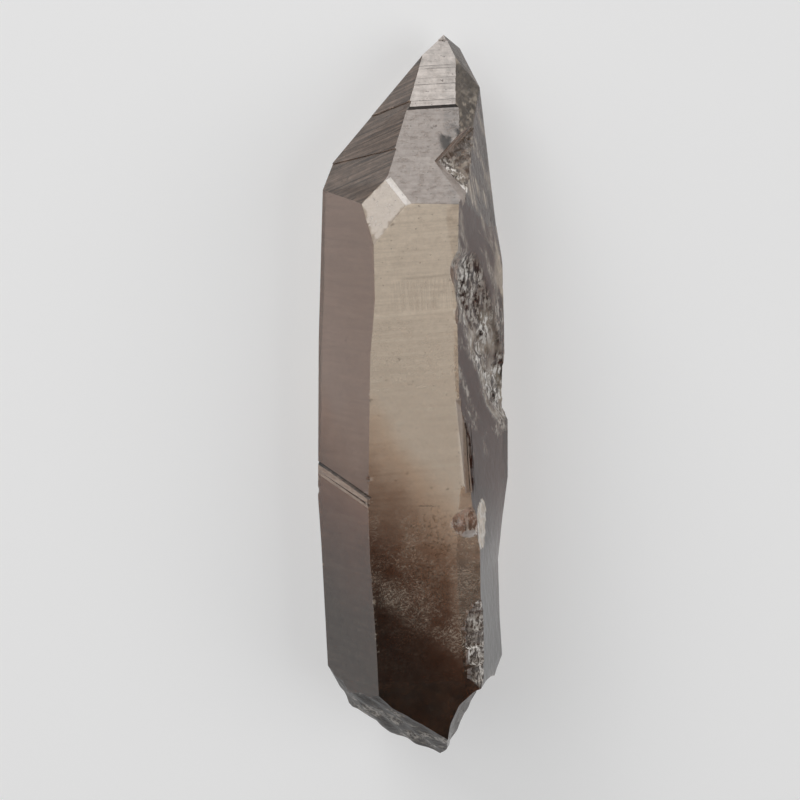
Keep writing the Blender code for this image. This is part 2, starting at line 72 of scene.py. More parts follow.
class Zone(Enum):
    """The kinds of surface on the crystal; the value is the face's index while it is cut."""

    BROKEN = 0
    FRONT = 1
    LEFT = 2
    LEFT_BACK = 3
    RIGHT = 4
    RIGHT_BACK = 5
    FRONT_SLOPE = 6
    LEFT_SLOPE = 7
    HIDDEN_SLOPE = 8
    FROSTED = 9
    STEEP = 10
    KITE = 11
    NARROW = 12
    NOTCH = 13
    ROOT = 14
    REST = 15
    BEVEL = 16


# ---- Vectors


def unit(vector: Sequence[float]) -> Array:
    """The vector at length one."""
    made = np.asarray(vector, dtype=float)
    return made / np.linalg.norm(made)


def slope_normal(turn: float) -> Array:
    """Outward normal of an ideal face of the point, turned about Y from the front face."""
    level = math.cos(POINT_SLOPE)
    return np.array([math.sin(turn) * level, math.sin(POINT_SLOPE), math.cos(turn) * level])


def normal_through(first: Sequence[float], second: Sequence[float], third: Sequence[float],
                   outward: Sequence[float]) -> Array:
    """Normal of the plane through three corners.

    Args:
        first, second, third: The corners.
        outward: A direction on the side that the normal takes.

    Returns:
        The unit normal.
    """
    normal = unit(np.cross(np.subtract(second, first), np.subtract(third, first)))
    return normal if normal @ np.asarray(outward) > 0.0 else -normal


def plane_axes(normal: Sequence[float], grain: Sequence[float]) -> Array:
    """The axes of a plane.

    Args:
        normal: A vector square to the plane.
        grain: A vector whose part within the plane gives the first axis.

    Returns:
        Three unit rows: along the grain, across it (normal x along) and the normal.
    """
    normal, grain = unit(normal), np.asarray(grain)
    along = unit(grain - normal * (grain @ normal))
    return np.stack((along, np.cross(normal, along), normal))


# ---- Noise


def lattice(i: Array, j: Array, seed: float) -> Array:
    """A repeatable value in 0..1 per whole-number point: the fraction of a large sine."""
    wave = np.sin(i * 127.1 + j * 311.7 + seed * 74.7) * 43758.5453
    return wave - np.floor(wave)


def value_noise(u: Array, v: Array, cell: float, seed: float) -> Array:
    """Smooth noise in -1..1: lattice values blended by 3t^2 - 2t^3 across each cell.

    Args:
        u, v: Places.
        cell: Cell size, in the places' unit.
        seed: Seed of the pattern.

    Returns:
        One value per place.
    """
    x, y = u / cell, v / cell
    i, j = np.floor(x), np.floor(y)
    s = (x - i) ** 2 * (3.0 - 2.0 * (x - i))
    t = (y - j) ** 2 * (3.0 - 2.0 * (y - j))
    near = lattice(i, j, seed) * (1.0 - s) + lattice(i + 1.0, j, seed) * s
    far = lattice(i, j + 1.0, seed) * (1.0 - s) + lattice(i + 1.0, j + 1.0, seed) * s
    return 2.0 * (near * (1.0 - t) + far * t) - 1.0


def layered_noise(u: Array, v: Array, cell: float, seed: float, layers: int = 3) -> Array:
    """Value noise summed over layers, each half as wide and half as high as the one before.

    Args:
        u, v: Places.
        cell: Cell size of the first layer.
        seed: Seed of the first layer.
        layers: How many layers there are.

    Returns:
        One value in about -1..1 per place.
    """
    total = np.zeros(np.broadcast(u, v).shape)
    for layer in range(layers):
        share = 0.5 ** layer
        total = total + share * value_noise(u, v, cell * share, seed + 7.0 * layer)
    return total / (2.0 - 0.5 ** (layers - 1))


def ridge_noise(u: Array, v: Array, cell: float, seed: float) -> Array:
    """Sharp ridges in 0..1: one minus the size of the smooth noise, squared."""
    return (1.0 - np.abs(value_noise(u, v, cell, seed))) ** 2


def gentle_step(value: Array, low: float, high: float) -> Array:
    """0 below low, 1 above high and the smooth rise 3t^2 - 2t^3 between."""
    t = np.clip((value - low) / (high - low), 0.0, 1.0)
    return t * t * (3.0 - 2.0 * t)


# ---- Meshes from arrays


def read(items: Sequence[object], key: str, width: int = 1, kind: type = float) -> Array:
    """A property of every item of a mesh.

    Args:
        items: Its vertices, edges, loops or faces, or an attribute's data.
        key: The property.
        width: How many numbers the property has.
        kind: Their type.

    Returns:
        One number or row per item.
    """
    values = np.zeros(len(items) * width, dtype=kind)
    items.foreach_get(key, values)
    return values.reshape(-1, width) if width > 1 else values


def add_attribute(mesh: bpy.types.Mesh, name: str, domain: str, values: Array) -> None:
    """Adds an attribute to a mesh.

    Args:
        mesh: The mesh.
        name: The attribute's name.
        domain: What it belongs to, such as "CORNER".
        values: One number per item, or a row of three for a colour.
    """
    kind, key = ("FLOAT", "value") if values.ndim == 1 else ("FLOAT_COLOR", "color")
    if values.ndim > 1:
        values = np.insert(values, 3, 1.0, axis=1)
    mesh.attributes.new(name, kind, domain).data.foreach_set(key, values.astype(np.float32).ravel())


def set_zone(mesh: bpy.types.Mesh, zone: Zone) -> None:
    """Gives the mesh a slot for every zone, and all its faces that zone's index.

    Args:
        mesh: The mesh.
        zone: The kind of surface.
    """
    for _ in Zone:
        mesh.materials.append(None)
    indices = np.full(len(mesh.polygons), zone.value, dtype=np.int32)
    mesh.polygons.foreach_set("material_index", indices)


def put_in_scene(name: str, data: bpy.types.ID) -> bpy.types.Object:
    """A new object of that name and data, linked to the scene.

    Args:
        name: Its name.
        data: Its mesh, light or camera.

    Returns:
        The object.
    """
    made = bpy.data.objects.new(name, data)
    bpy.context.scene.collection.objects.link(made)
    return made


def grid_faces(rows: int, columns: int, start: int = 0) -> Array:
    """Quads of a grid of rows x columns points, as indices from start.

    Args:
        rows, columns: Size of the grid.
        start: Index of its first point.

    Returns:
        Four indices per face.
    """
    index = start + np.arange(rows * columns).reshape(rows, columns)
    return np.stack(
        (index[:-1, :-1], index[:-1, 1:], index[1:, 1:], index[1:, :-1]), axis=-1).reshape(-1, 4)


def signed_volume(points: Array, quads: Array) -> float:
    """Volume inside closed quads: a sixth of the summed triple products of their two triangles.

    Args:
        points: Places, one row each.
        quads: Four indices per face.

    Returns:
        The volume, below zero where the faces point inwards.
    """
    a, b, c, d = (points[quads[:, k]] for k in range(4))
    halves = np.einsum("ij,ij->i", a, np.cross(b, c)) + np.einsum("ij,ij->i", a, np.cross(c, d))
    return float(halves.sum() / 6.0)


def mesh_from(name: str, points: Array, quads: Array, zone: Zone | None = None) -> bpy.types.Mesh:
    """A closed mesh, faces turned outwards.

    Args:
        name: Name of the mesh.
        points: Places in millimetres in the crystal's frame, one row each.
        quads: Four indices per face; a repeated index makes it a triangle.
        zone: The kind of surface that its faces cut, if it is a tool.

    Returns:
        The mesh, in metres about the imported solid's origin.
    """
    if signed_volume(points, quads) < 0.0:
        quads = quads[:, ::-1]
    mesh = bpy.data.meshes.new(name)
    faces = [tuple(dict.fromkeys(quad)) for quad in quads.tolist()]
    mesh.from_pydata(((points - MIDDLE) * MM).tolist(), [], faces)
    if zone is not None:
        set_zone(mesh, zone)
    mesh.update()
    return mesh


def slab_mesh(name: str, front: Array, outward: Array, thickness: float,
              zone: Zone) -> bpy.types.Mesh:
    """A closed slab between a surface and its copy moved outwards.

    Args:
        name: Name of the mesh.
        front: Points of the surface, rows x columns x 3, in millimetres.
        outward: Unit direction in which the copy lies.
        thickness: How far off the copy lies, in millimetres.
        zone: The kind of surface that it cuts.

    Returns:
        The mesh: the surface, the copy and the four walls between their rims.
    """
    rows, columns, _ = front.shape
    count = rows * columns
    points = np.concatenate((front.reshape(-1, 3), front.reshape(-1, 3) + outward * thickness))
    index = np.arange(count).reshape(rows, columns)
    rim = np.concatenate((index[0, :-1], index[:-1, -1], index[-1, :0:-1], index[:0:-1, 0]))
    after = np.roll(rim, -1)
    walls = np.stack((after, rim, rim + count, after + count), axis=-1)
    copy = grid_faces(rows, columns, count)[:, ::-1]
    quads = np.concatenate((grid_faces(rows, columns), copy, walls))
    return mesh_from(name, points, quads, zone)


def raised(point: Sequence[float], axes: Array, a: Array, b: Array, height: Array) -> Array:
    """Places over a plane: point + a along + b across + height normal.

    Args:
        point: A point of the plane.
        axes: The plane's axes, as plane_axes gives them.
        a, b: Places along the first two axes.
        height: Height over the plane at each place.

    Returns:
        The places, one row of three each.
    """
    along, across, normal = axes
    return (np.asarray(point) + a[..., None] * along + b[..., None] * across
            + height[..., None] * normal)


def ruled(y: Array, across: Array, starts: tuple[Array, float], ends: tuple[Array, Array | float],
          height: Array) -> tuple[Array, Array]:
    """A sheet of straight lines between two edges: start + across (end - start) + height outward.

    Args:
        y: Place along Y of each point.
        across: Share of the way over the face.
        starts, ends: x and z of the two edges at y.
        height: How far the sheet lies outwards, square to the lines and upwards.

    Returns:
        The points, rows x columns x 3, and the mean outward direction.
    """
    run_x, run_z = ends[0] - starts[0], ends[1] - starts[1]
    length = np.hypot(run_x, run_z)
    out_x, out_z = -np.sign(run_x) * run_z / length, np.abs(run_x) / length
    points = np.stack((starts[0] + across * run_x + out_x * height, y + 0.0 * across,
                       starts[1] + across * run_z + out_z * height), axis=-1)
    return points, unit((float(np.mean(out_x)), 0.0, float(np.mean(out_z))))


def ball(rings: int, segments: int) -> tuple[Array, Array]:
    """A closed ball of radius one: (sin t cos f, sin t sin f, cos t) over rings t and segments f.

    Args:
        rings: How many rings lie between the poles.
        segments: How many points a ring has.

    Returns:
        Its points, with one at each pole, and its faces as four indices, where a repeated index
        stands for a triangle.
    """
    t = np.linspace(0.0, np.pi, rings + 2)[1:-1, None]
    f = np.linspace(0.0, 2.0 * np.pi, segments, endpoint=False)[None, :]
    body = np.stack((np.sin(t) * np.cos(f), np.sin(t) * np.sin(f), np.cos(t) + 0.0 * f), axis=-1)
    points = np.concatenate(([[0.0, 0.0, 1.0]], body.reshape(-1, 3), [[0.0, 0.0, -1.0]]))
    index = 1 + np.arange(rings * segments).reshape(rings, segments)
    after = np.roll(index, -1, axis=1)
    sides = np.stack((index[:-1], index[1:], after[1:], after[:-1]), axis=-1).reshape(-1, 4)
    top = np.stack((np.zeros_like(index[0]), index[0], after[0], after[0]), axis=-1)
    last = np.full_like(index[0], len(points) - 1)
    bottom = np.stack((last, after[-1], index[-1], index[-1]), axis=-1)
    return points, np.concatenate((top, sides, bottom))


# ---- The long edges


@dataclass(frozen=True)
class LongEdge:
    """A long edge of the prism: (y, x) stations in millimetres, straight between them."""

    stations: tuple[Pair, ...]

    def at(self, y: Array) -> Array:
        """The edge's x at y."""
        table = np.array(self.stations)
        return np.interp(y, table[:, 0], table[:, 1])


FRONT_LEFT_EDGE = LongEdge((
    (-67.0, -4.5), (-50.0, -5.8), (-40.0, -6.5), (-27.0, -7.7), (-18.0, -8.2),
    (8.0, -8.35), (16.8, -7.75), (26.0, -8.1), (64.0, -8.1)))
LEFT_EDGE = LongEdge((
    (-67.0, -12.4), (-48.0, -13.9), (-26.5, -15.4), (-18.5, -16.1), (8.8, -16.45), (64.0, -15.9)))
FRONT_RIGHT_EDGE = LongEdge((
    (-67.0, 12.2), (-46.0, 11.7), (-25.0, 10.9), (-16.0, 9.2), (-6.0, 8.0), (-1.0, 6.9),
    (8.0, 6.4), (16.0, 6.0), (64.0, 5.8)))
RIGHT_EDGE = LongEdge((
    (-67.0, 17.0), (-46.5, 17.0), (-40.0, 16.4), (-29.5, 15.8), (-22.0, 16.3), (-14.6, 17.0),
    (-3.3, 16.6), (3.2, 15.9), (12.9, 15.5), (24.0, 14.9), (29.0, 13.9), (64.0, 12.6)))
RIGHT_EDGE_HEIGHT = LongEdge(((-67.0, 11.5), (-30.0, 12.5), (0.0, 14.5), (64.0, 14.6)))


# ---- Relief sheets


@dataclass(frozen=True)
class GrowthStep:
    """A growth ledge across a face, in millimetres.

    place is where it begins on the face's second axis, rise how much higher the face is beyond it,
    start and end where it begins and ends along the first axis, run how far it takes to climb and
    fade half the length over which its ends die out.
    """

    place: float
    rise: float
    start: float = -99.0
    end: float = 99.0
    run: float = 0.02
    fade: float = 0.6

    def relief(self, a: Array, b: Array) -> Array:
        """Its height: rise x straight climb along b x smooth step at each end along a.

        Args:
            a, b: Places along the face's two axes.

        Returns:
            The height at each place.
        """
        starts = gentle_step(a, self.start - self.fade, self.start + self.fade)
        ends = 1.0 - gentle_step(a, self.end - self.fade, self.end + self.fade)
        return self.rise * (starts * ends) * np.clip((b - self.place) / self.run, 0.0, 1.0)


def ledge_relief(a: Array, b: Array, steps: Sequence[GrowthStep]) -> Array:
    """Height of all ledges at (a, b)."""
    return sum((step.relief(a, b) for step in steps), np.zeros(np.broadcast(a, b).shape))


def marked_line(start: float, end: float, cell: float, steps: Sequence[GrowthStep]) -> Array:
    """Grid stations with one at each ledge's foot and top.

    Args:
        start, end: The first and last station.
        cell: How far apart they are.
        steps: The ledges.

    Returns:
        The stations, without those closer to a ledge than an eightieth of a millimetre.
    """
    even = np.linspace(start, end, max(2, int(round((end - start) / cell)) + 1))
    marks = np.array([place for step in steps for place in (step.place, step.place + step.run)])
    apart = np.abs(even[:, None] - marks[None, :]).min(axis=1, initial=cell) > 0.012
    return np.unique(np.concatenate((even[apart], marks)))


@dataclass(frozen=True)
class FlatFace:
    """A flat face of the point, skimmed.

    point and normal give its plane, grain the way its growth lines run, reach its limits (from
    and to along the grain, from and to across it) about the point. skim is the least depth taken
    off, swell the height of its broad waves and rough that of its fine ones.
    """

    name: str
    zone: Zone
    point: Sequence[float]
    normal: Sequence[float]
    grain: Triple
    reach: tuple[float, float, float, float]
    seed: float
    cell: float = 0.6
    skim: float = 0.03
    swell: float = 0.02
    swell_cell: float = 5.0
    rough: float = 0.0
    rough_cell: float = 0.8
    steps: tuple[GrowthStep, ...] = ()

    def slab(self) -> bpy.types.Mesh:
        """The tool: height = -skim - waves - roughness + ledges over the plane's two axes.

        Returns:
            Its mesh.
        """
        a = marked_line(self.reach[0], self.reach[1], self.cell, ())[None, :]
        b = marked_line(self.reach[2], self.reach[3], self.cell, self.steps)[:, None]
        waves = 0.5 + 0.5 * layered_noise(a * 0.35, b, self.swell_cell, self.seed)
        grit = 0.5 + 0.5 * layered_noise(a, b, self.rough_cell, self.seed + 3.0)
        height = -self.skim - self.swell * waves - self.rough * grit
        height = height + ledge_relief(a, b, self.steps)
        axes = plane_axes(self.normal, self.grain)
        return slab_mesh(self.name, raised(self.point, axes, a, b, height), axes[2], 3.0, self.zone)


@dataclass(frozen=True)
class LongFace:
    """A long face of the prism between two edges, skimmed.

    start and end are its two edges, each with its height; span its limits along Y, slant how far
    a growth line climbs along Y per millimetre across, and margin how far it runs past its edges.
    """

    name: str
    zone: Zone
    start: tuple[LongEdge, float]
    end: tuple[LongEdge, float]
    span: Pair
    slant: float
    seed: float
    steps: tuple[GrowthStep, ...]
    cell: Pair = (0.8, 0.6)
    skim: float = 0.04
    swell: float = 0.03
    swell_cell: float = 6.0
    margin: float = 1.5

    def slab(self) -> bpy.types.Mesh:
        """The tool: the straight lines between the edges at each y, lifted by waves and ledges.

        Returns:
            Its mesh.
        """
        line = marked_line(self.span[0], self.span[1], self.cell[1], self.steps)
        past = self.margin / LONG_WIDTH
        columns = int(round((LONG_WIDTH + 2.0 * self.margin) / self.cell[0]))
        across = np.linspace(-past, 1.0 + past, columns)[None, :]
        y = line[:, None] + self.slant * (across - 0.5) * LONG_WIDTH
        waves = 0.5 + 0.5 * layered_noise(across * LONG_WIDTH * 0.3, y, self.swell_cell, self.seed)
        height = -self.skim - self.swell * waves
        height = height + ledge_relief(across * LONG_WIDTH, line[:, None], self.steps)
        edges = [(edge.at(y), level) for edge, level in (self.start, self.end)]
        front, outward = ruled(y, across, *edges, height)
        return slab_mesh(self.name, front, outward, 3.0, self.zone)


def break_axes(wide: Array, y: Array) -> tuple[Array, Array]:
    """Places along the breaks of the right face, which slant down and outwards, and across them."""
    return 0.55 * wide - 0.83 * y, 0.83 * wide + 0.55 * y


@dataclass(frozen=True)
class BrokenRightFace:
    """The hackly right face: a slanting band of broken terraces, fine hackle and a knobbly foot.

    The band runs from band_top at the front edge to band_foot at the outer edge, and foot is
    where along -Y the knobs begin and are full.
    """

    span: Pair = (-58.0, 34.0)
    across_span: Pair = (-0.12, 1.12)
    cell: float = 0.40
    band_top: float = 24.5
    band_foot: float = -2.5
    band_depth: float = 1.5
    fine_depth: float = 0.22
    knob_depth: float = 0.7
    foot: Pair = (44.0, 50.0)

    def depth(self, y: Array, across: Array) -> Array:
        """Depth broken away: a bell across the slanting band times terraces of noise, and knobs.

        Args:
            y: Places along Y.
            across: Shares of the way over the face.

        Returns:
            The depth at each place.
        """
        travel = (self.band_top - y) / (self.band_top - self.band_foot)
        band = np.exp(-((across - 0.10 - 0.86 * travel) / 0.30) ** 2)
        band = band * gentle_step(travel, -0.08, 0.06) * (1.0 - gentle_step(travel, 0.98, 1.12))
        along, side = break_axes(across * RIGHT_WIDTH, y)
        rough = 0.5 + 0.5 * layered_noise(along * 0.4, side, 2.3, 5, 2)
        terraces = np.floor(rough * 5.0) / 4.0
        knobs = 0.5 + 0.5 * value_noise(across * 9.0, y, 3.4, 8)
        return (self.band_depth * band * (0.35 + 0.65 * terraces)
                + self.knob_depth * gentle_step(-y, *self.foot) * knobs)

    def slab(self) -> bpy.types.Mesh:
        """The tool: the plane between the two edges, sunk by the breaks and by fine hackle.

        Returns:
            Its mesh.
        """
        rows = int(round((self.span[1] - self.span[0]) / self.cell))
        columns = int(round(RIGHT_WIDTH * (self.across_span[1] - self.across_span[0]) / self.cell))
        y = np.linspace(*self.span, rows)[:, None]
        across = np.linspace(*self.across_span, columns)[None, :]
        broken = self.depth(y, across)
        along, side = break_axes(across * RIGHT_WIDTH, y)
        hackle = ridge_noise(0.25 * along, side, 1.1, 21)
        hackle = hackle + 0.6 * ridge_noise(along, 0.6 * side, 1.3, 22)
        share = 0.10 + 0.90 * gentle_step(broken, 0.1, 0.6)
        lift = np.minimum(0.0, 0.35 - 1.45 * broken) - 0.10 - self.fine_depth * share * hackle
        front, _ = ruled(y, across, (FRONT_RIGHT_EDGE.at(y), DEPTH),
                         (RIGHT_EDGE.at(y), RIGHT_EDGE_HEIGHT.at(y)), lift)
        return slab_mesh("right_face_tool", front, unit((0.9, 0.0, 0.45)), 8.0, Zone.RIGHT)


@dataclass(frozen=True)
class BrokenPatch:
    """A hackly floor between convex corners on a plane, whose sheet rises clear outside them.

    corners are (x, y) pairs on the plane through point; ridges run along the grain, depth high.
    """

    name: str
    zone: Zone
    point: Sequence[float]
    normal: Sequence[float]
    grain: Triple
    corners: tuple[Pair, ...]
    depth: float
    ridge: float = 1.1
    cell: float = 0.22
    skim: float = 0.03
    clear: float = 6.0
    margin: float = 0.3

    def slab(self) -> bpy.types.Mesh:
        """The tool: height = -skim - depth ridges(a / 4, b) + clear (1 - step(way inside)).

        Returns:
            Its mesh.
        """
        axes, point = plane_axes(self.normal, self.grain), np.asarray(self.point)
        normal, xy = axes[2], np.array(self.corners)
        z = point[2] - (xy - point[:2]) @ normal[:2] / normal[2]
        flat = (np.column_stack((xy, z)) - point) @ axes[:2].T
        low, high = flat.min(axis=0) - self.margin, flat.max(axis=0) + self.margin
        a = np.arange(low[0], high[0] + self.cell, self.cell)[None, :]
        b = np.arange(low[1], high[1] + self.cell, self.cell)[:, None]
        side = np.roll(flat, -1, axis=0) - flat
        side = side / np.linalg.norm(side, axis=1)[:, None]
        gaps = side[:, 0] * (b[..., None] - flat[:, 1]) - side[:, 1] * (a[..., None] - flat[:, 0])
        facing = np.sign(side[0, 0] * side[1, 1] - side[0, 1] * side[1, 0])
        inside = (gaps * facing).min(axis=-1)
        ridges = 0.6 * ridge_noise(a * 0.25, b, self.ridge, 71) + 0.4 * ridge_noise(a, b, 0.7, 73)
        height = -self.skim - self.depth * ridges
        height = height + self.clear * (1.0 - gentle_step(inside, 0.0, 0.5))
        return slab_mesh(self.name, raised(point, axes, a, b, height), normal, 3.0, self.zone)


@dataclass(frozen=True)
class RootBreak:
    """One shell-like break of the root, skimmed with ripples that spread from source.

    ring and rib are how far apart its rings and its fine ribs are.
    """

    name: str
    point: Triple
    normal: Triple
    swell: float
    seed: float
    half_size: float = 24.0
    cell: float = 0.5
    skim: float = 0.16
    source: Pair = (-9.0, 6.0)
    ring: float = 5.2
    rib: float = 1.3

    def slab(self) -> bpy.types.Mesh:
        """The tool: broad swell + rings sin(2 pi reach / length) + fine ribs, less the skim.

        Returns:
            Its mesh.
        """
        line = np.linspace(-self.half_size, self.half_size, int(2.0 * self.half_size / self.cell))
        a, b = line[None, :], line[:, None]
        reach = np.hypot(a - self.source[0], b - self.source[1])
        angle = np.arctan2(b - self.source[1], a - self.source[0])
        height = self.swell * value_noise(a, b, 8.0, self.seed)
        height = height + 0.45 * self.swell * value_noise(a, b, 3.4, self.seed + 1)
        height = height + 0.16 * np.sin(2.0 * np.pi * reach / self.ring)
        ribs = 0.5 + 0.5 * np.sin(2.0 * np.pi * (reach + 0.4 * np.sin(3.0 * angle)) / self.rib)
        grit = ridge_noise(reach, angle * 14.0, 1.6, self.seed + 2)
        height = height - self.skim - 0.03 * ribs - 0.10 * grit
        axes = plane_axes(self.normal, (0.0, 0.0, 1.0))
        front = raised(self.point, axes, a, b, height)
        return slab_mesh(self.name, front, axes[2], 6.0, Zone.ROOT)


# ---- How each kind of surface looks


@dataclass(frozen=True)
class ZoneLook:
    """How a kind of surface looks.

    polish is its roughness, haze_and_light how much of it is milky, partly milk and partly painted
    light, lines how strong its growth lines are, pits how strong its etch marks are, hackle how
    strong its broken texture is, grain the way in which its growth lines run, tone the colour that
    it lets through, on most faces darkened as painted shade, and bloom that of its milk and of its
    painted light.
    """

    polish: float
    haze_and_light: float
    lines: float
    pits: float
    hackle: float
    grain: Triple
    normal: Triple
    tone: Triple = (1.0, 1.0, 1.0)
    bloom: Triple = (0.76, 0.64, 0.51)


# The dark tones of the left, right, slope, broken, notch, root and bevel faces are painted shade,
# standing for the darker surroundings that those faces show. The high haze_and_light and pale bloom
# of the kite and the narrow face are partly milk and partly painted sheen.
LOOKS: dict[Zone, ZoneLook] = {
    Zone.BROKEN: ZoneLook(
        0.10, 0.08, 0.0, 0.2, 0.7, (0, 1, 0), (0, 0, 1), (0.14, 0.08, 0.06)),
    Zone.FRONT: ZoneLook(
        0.07, 0.25, 0.19, 0.25, 0.0, (1, 0.085, 0), (0, 0, 1), (1.0, 0.85, 0.68)),
    Zone.LEFT: ZoneLook(
        0.09, 0.06, 0.30, 0.10, 0.0, (0.5, 0, 0.866), (-0.866, 0, 0.5), (0.20, 0.11, 0.085)),
    Zone.LEFT_BACK: ZoneLook(
        0.30, 0.10, 0.5, 0.3, 0.0, (0.5, 0, -0.866), (-0.866, 0, -0.5), (0.88, 0.82, 0.76)),
    Zone.RIGHT: ZoneLook(
        0.12, 0.01, 0.2, 0.2, 0.2, (0.25, -0.83, -0.49), (0.89, 0, 0.45), (0.012, 0.003, 0.002)),
    Zone.RIGHT_BACK: ZoneLook(
        0.30, 0.10, 0.5, 0.3, 0.0, (0.5, 0, 0.866), (0.866, 0, -0.5), (0.88, 0.82, 0.76)),
    Zone.FRONT_SLOPE: ZoneLook(
        0.10, 0.10, 0.17, 1.1, 0.0, (1, 0.07, 0), (0, 0.618, 0.786), (0.13, 0.085, 0.065),
        (0.72, 0.65, 0.60)),
    Zone.LEFT_SLOPE: ZoneLook(
        0.12, 0.115, 0.85, 0.2, 0.0, (0.76, 0.34, 0.55), (-0.68, 0.618, 0.393),
        (0.006, 0.003, 0.002), (0.80, 0.59, 0.46)),
    Zone.HIDDEN_SLOPE: ZoneLook(
        0.30, 0.08, 1.0, 0.3, 0.0, (1, 0, 0), (0, 0.618, -0.786), (0.80, 0.75, 0.70)),
    Zone.FROSTED: ZoneLook(
        0.34, 0.20, 0.4, 1.6, 0.5, (0.4, 0.4, -0.8), (0.68, 0.618, 0.393), (0.01, 0.006, 0.004)),
    Zone.STEEP: ZoneLook(
        0.16, 0.04, 1.0, 0.8, 1.0, (0, 1, 0), (0.95, 0.1, 0.2), (0.01, 0.004, 0.003)),
    Zone.KITE: ZoneLook(
        0.08, 0.38, 0.1, 0.1, 0.0, (1, 0, 0), (-0.418, 0.330, 0.847), (0.55, 0.45, 0.38)),
    Zone.NARROW: ZoneLook(
        0.05, 0.62, 0.0, 0.0, 0.0, (1, 0, 0), (-0.2, 0.487, 0.845), (1.0, 1.0, 1.0),
        (0.93, 0.86, 0.80)),
    Zone.NOTCH: ZoneLook(
        0.22, 0.10, 0.0, 0.5, 1.4, (0.48, -0.69, 0.53), (0, 0.618, 0.786), (0.15, 0.10, 0.08)),
    Zone.ROOT: ZoneLook(
        0.42, 0.03, 0.0, 1.0, 2.0, (0.8, 0, 0.6), (0, -1, 0), (0.03, 0.014, 0.008)),
    Zone.REST: ZoneLook(
        0.25, 0.10, 0.2, 0.3, 0.0, (1, 0, 0), (0, 0, 1)),
    Zone.BEVEL: ZoneLook(
        0.06, 0.05, 0.3, 0.2, 0.0, (0, 1, 0), (0.454, 0, 0.891), (0.25, 0.18, 0.14)),
}

FRONT_SLANT = 0.088
FRONT_LEDGES: Pair = (15.1, 20.8)
FRONT_SLOPE_FOOT: Triple = (0.0, 33.1, 29.0)
FRONT_SLOPE_GRAIN: Triple = (1.0, 0.079, -0.062)
FRONT_SLOPE_STEPS = (
    GrowthStep(19.56, 0.34, run=0.42), GrowthStep(21.07, -0.05, run=0.12),
    GrowthStep(24.5, -0.06, run=0.14), GrowthStep(25.9, -0.02, run=0.05),
    GrowthStep(27.95, -0.05, run=0.10), GrowthStep(28.6, -0.03, run=0.08))
FRONT_SLOPE_MILK_AND_SHEEN = 19.7
LEFT_SHOULDER: Triple = (-16.13, 35.06, 14.7)
LEFT_SHOULDER_FRONT: Triple = (-10.06, 33.42, 25.42)
FRONT_LEFT_TOP: Triple = (1.1, 58.2, 9.7)
FRONT_RIGHT_TOP: Triple = (6.25, 57.5, 10.2)
FROSTED_FOOT: Triple = (6.2, 47.2, 18.3)
STEEP_RIGHT_MIDDLE: Triple = (9.66, 48.6, 14.5)
STEEP_RIGHT_FOOT: Triple = (13.2, 32.0, 14.0)
STEEP_RIGHT_OUTER: Triple = (11.7, 48.7, 10.0)
KITE_NORMAL = unit((-0.418, 0.330, 0.847))
KITE_BOTTOM: Triple = (-8.15, 26.0, 29.0)
NARROW_POINT: Triple = (-2.52, 33.03, 28.88)
LEFT_CRACK = -14.45
LEFT_CRACK_SLANT = 0.21
LEFT_CRACK_GLINT = 1.7
NOTCH_TIP: Triple = (2.1, 40.1, 23.5)
NOTCH_LOWER: Triple = (14.7, 33.5, 28.5)
NOTCH_UPPER: Triple = (16.9, 47.1, 18.0)
NOTCH_APEX = np.array(NOTCH_TIP) - 1.3 * slope_normal(0.0)
BEVEL_NORMAL: Triple = (0.454, 0.06, 0.891)


def notch_floor() -> Array:
    """Outward normal of the notch's sloping floor, through its three sunk corners.

    Returns:
        The unit normal.
    """
    front = slope_normal(0.0)
    lower, upper = (np.array(corner) - 2.5 * front for corner in (NOTCH_LOWER, NOTCH_UPPER))
    return normal_through(NOTCH_APEX, lower, upper, front)


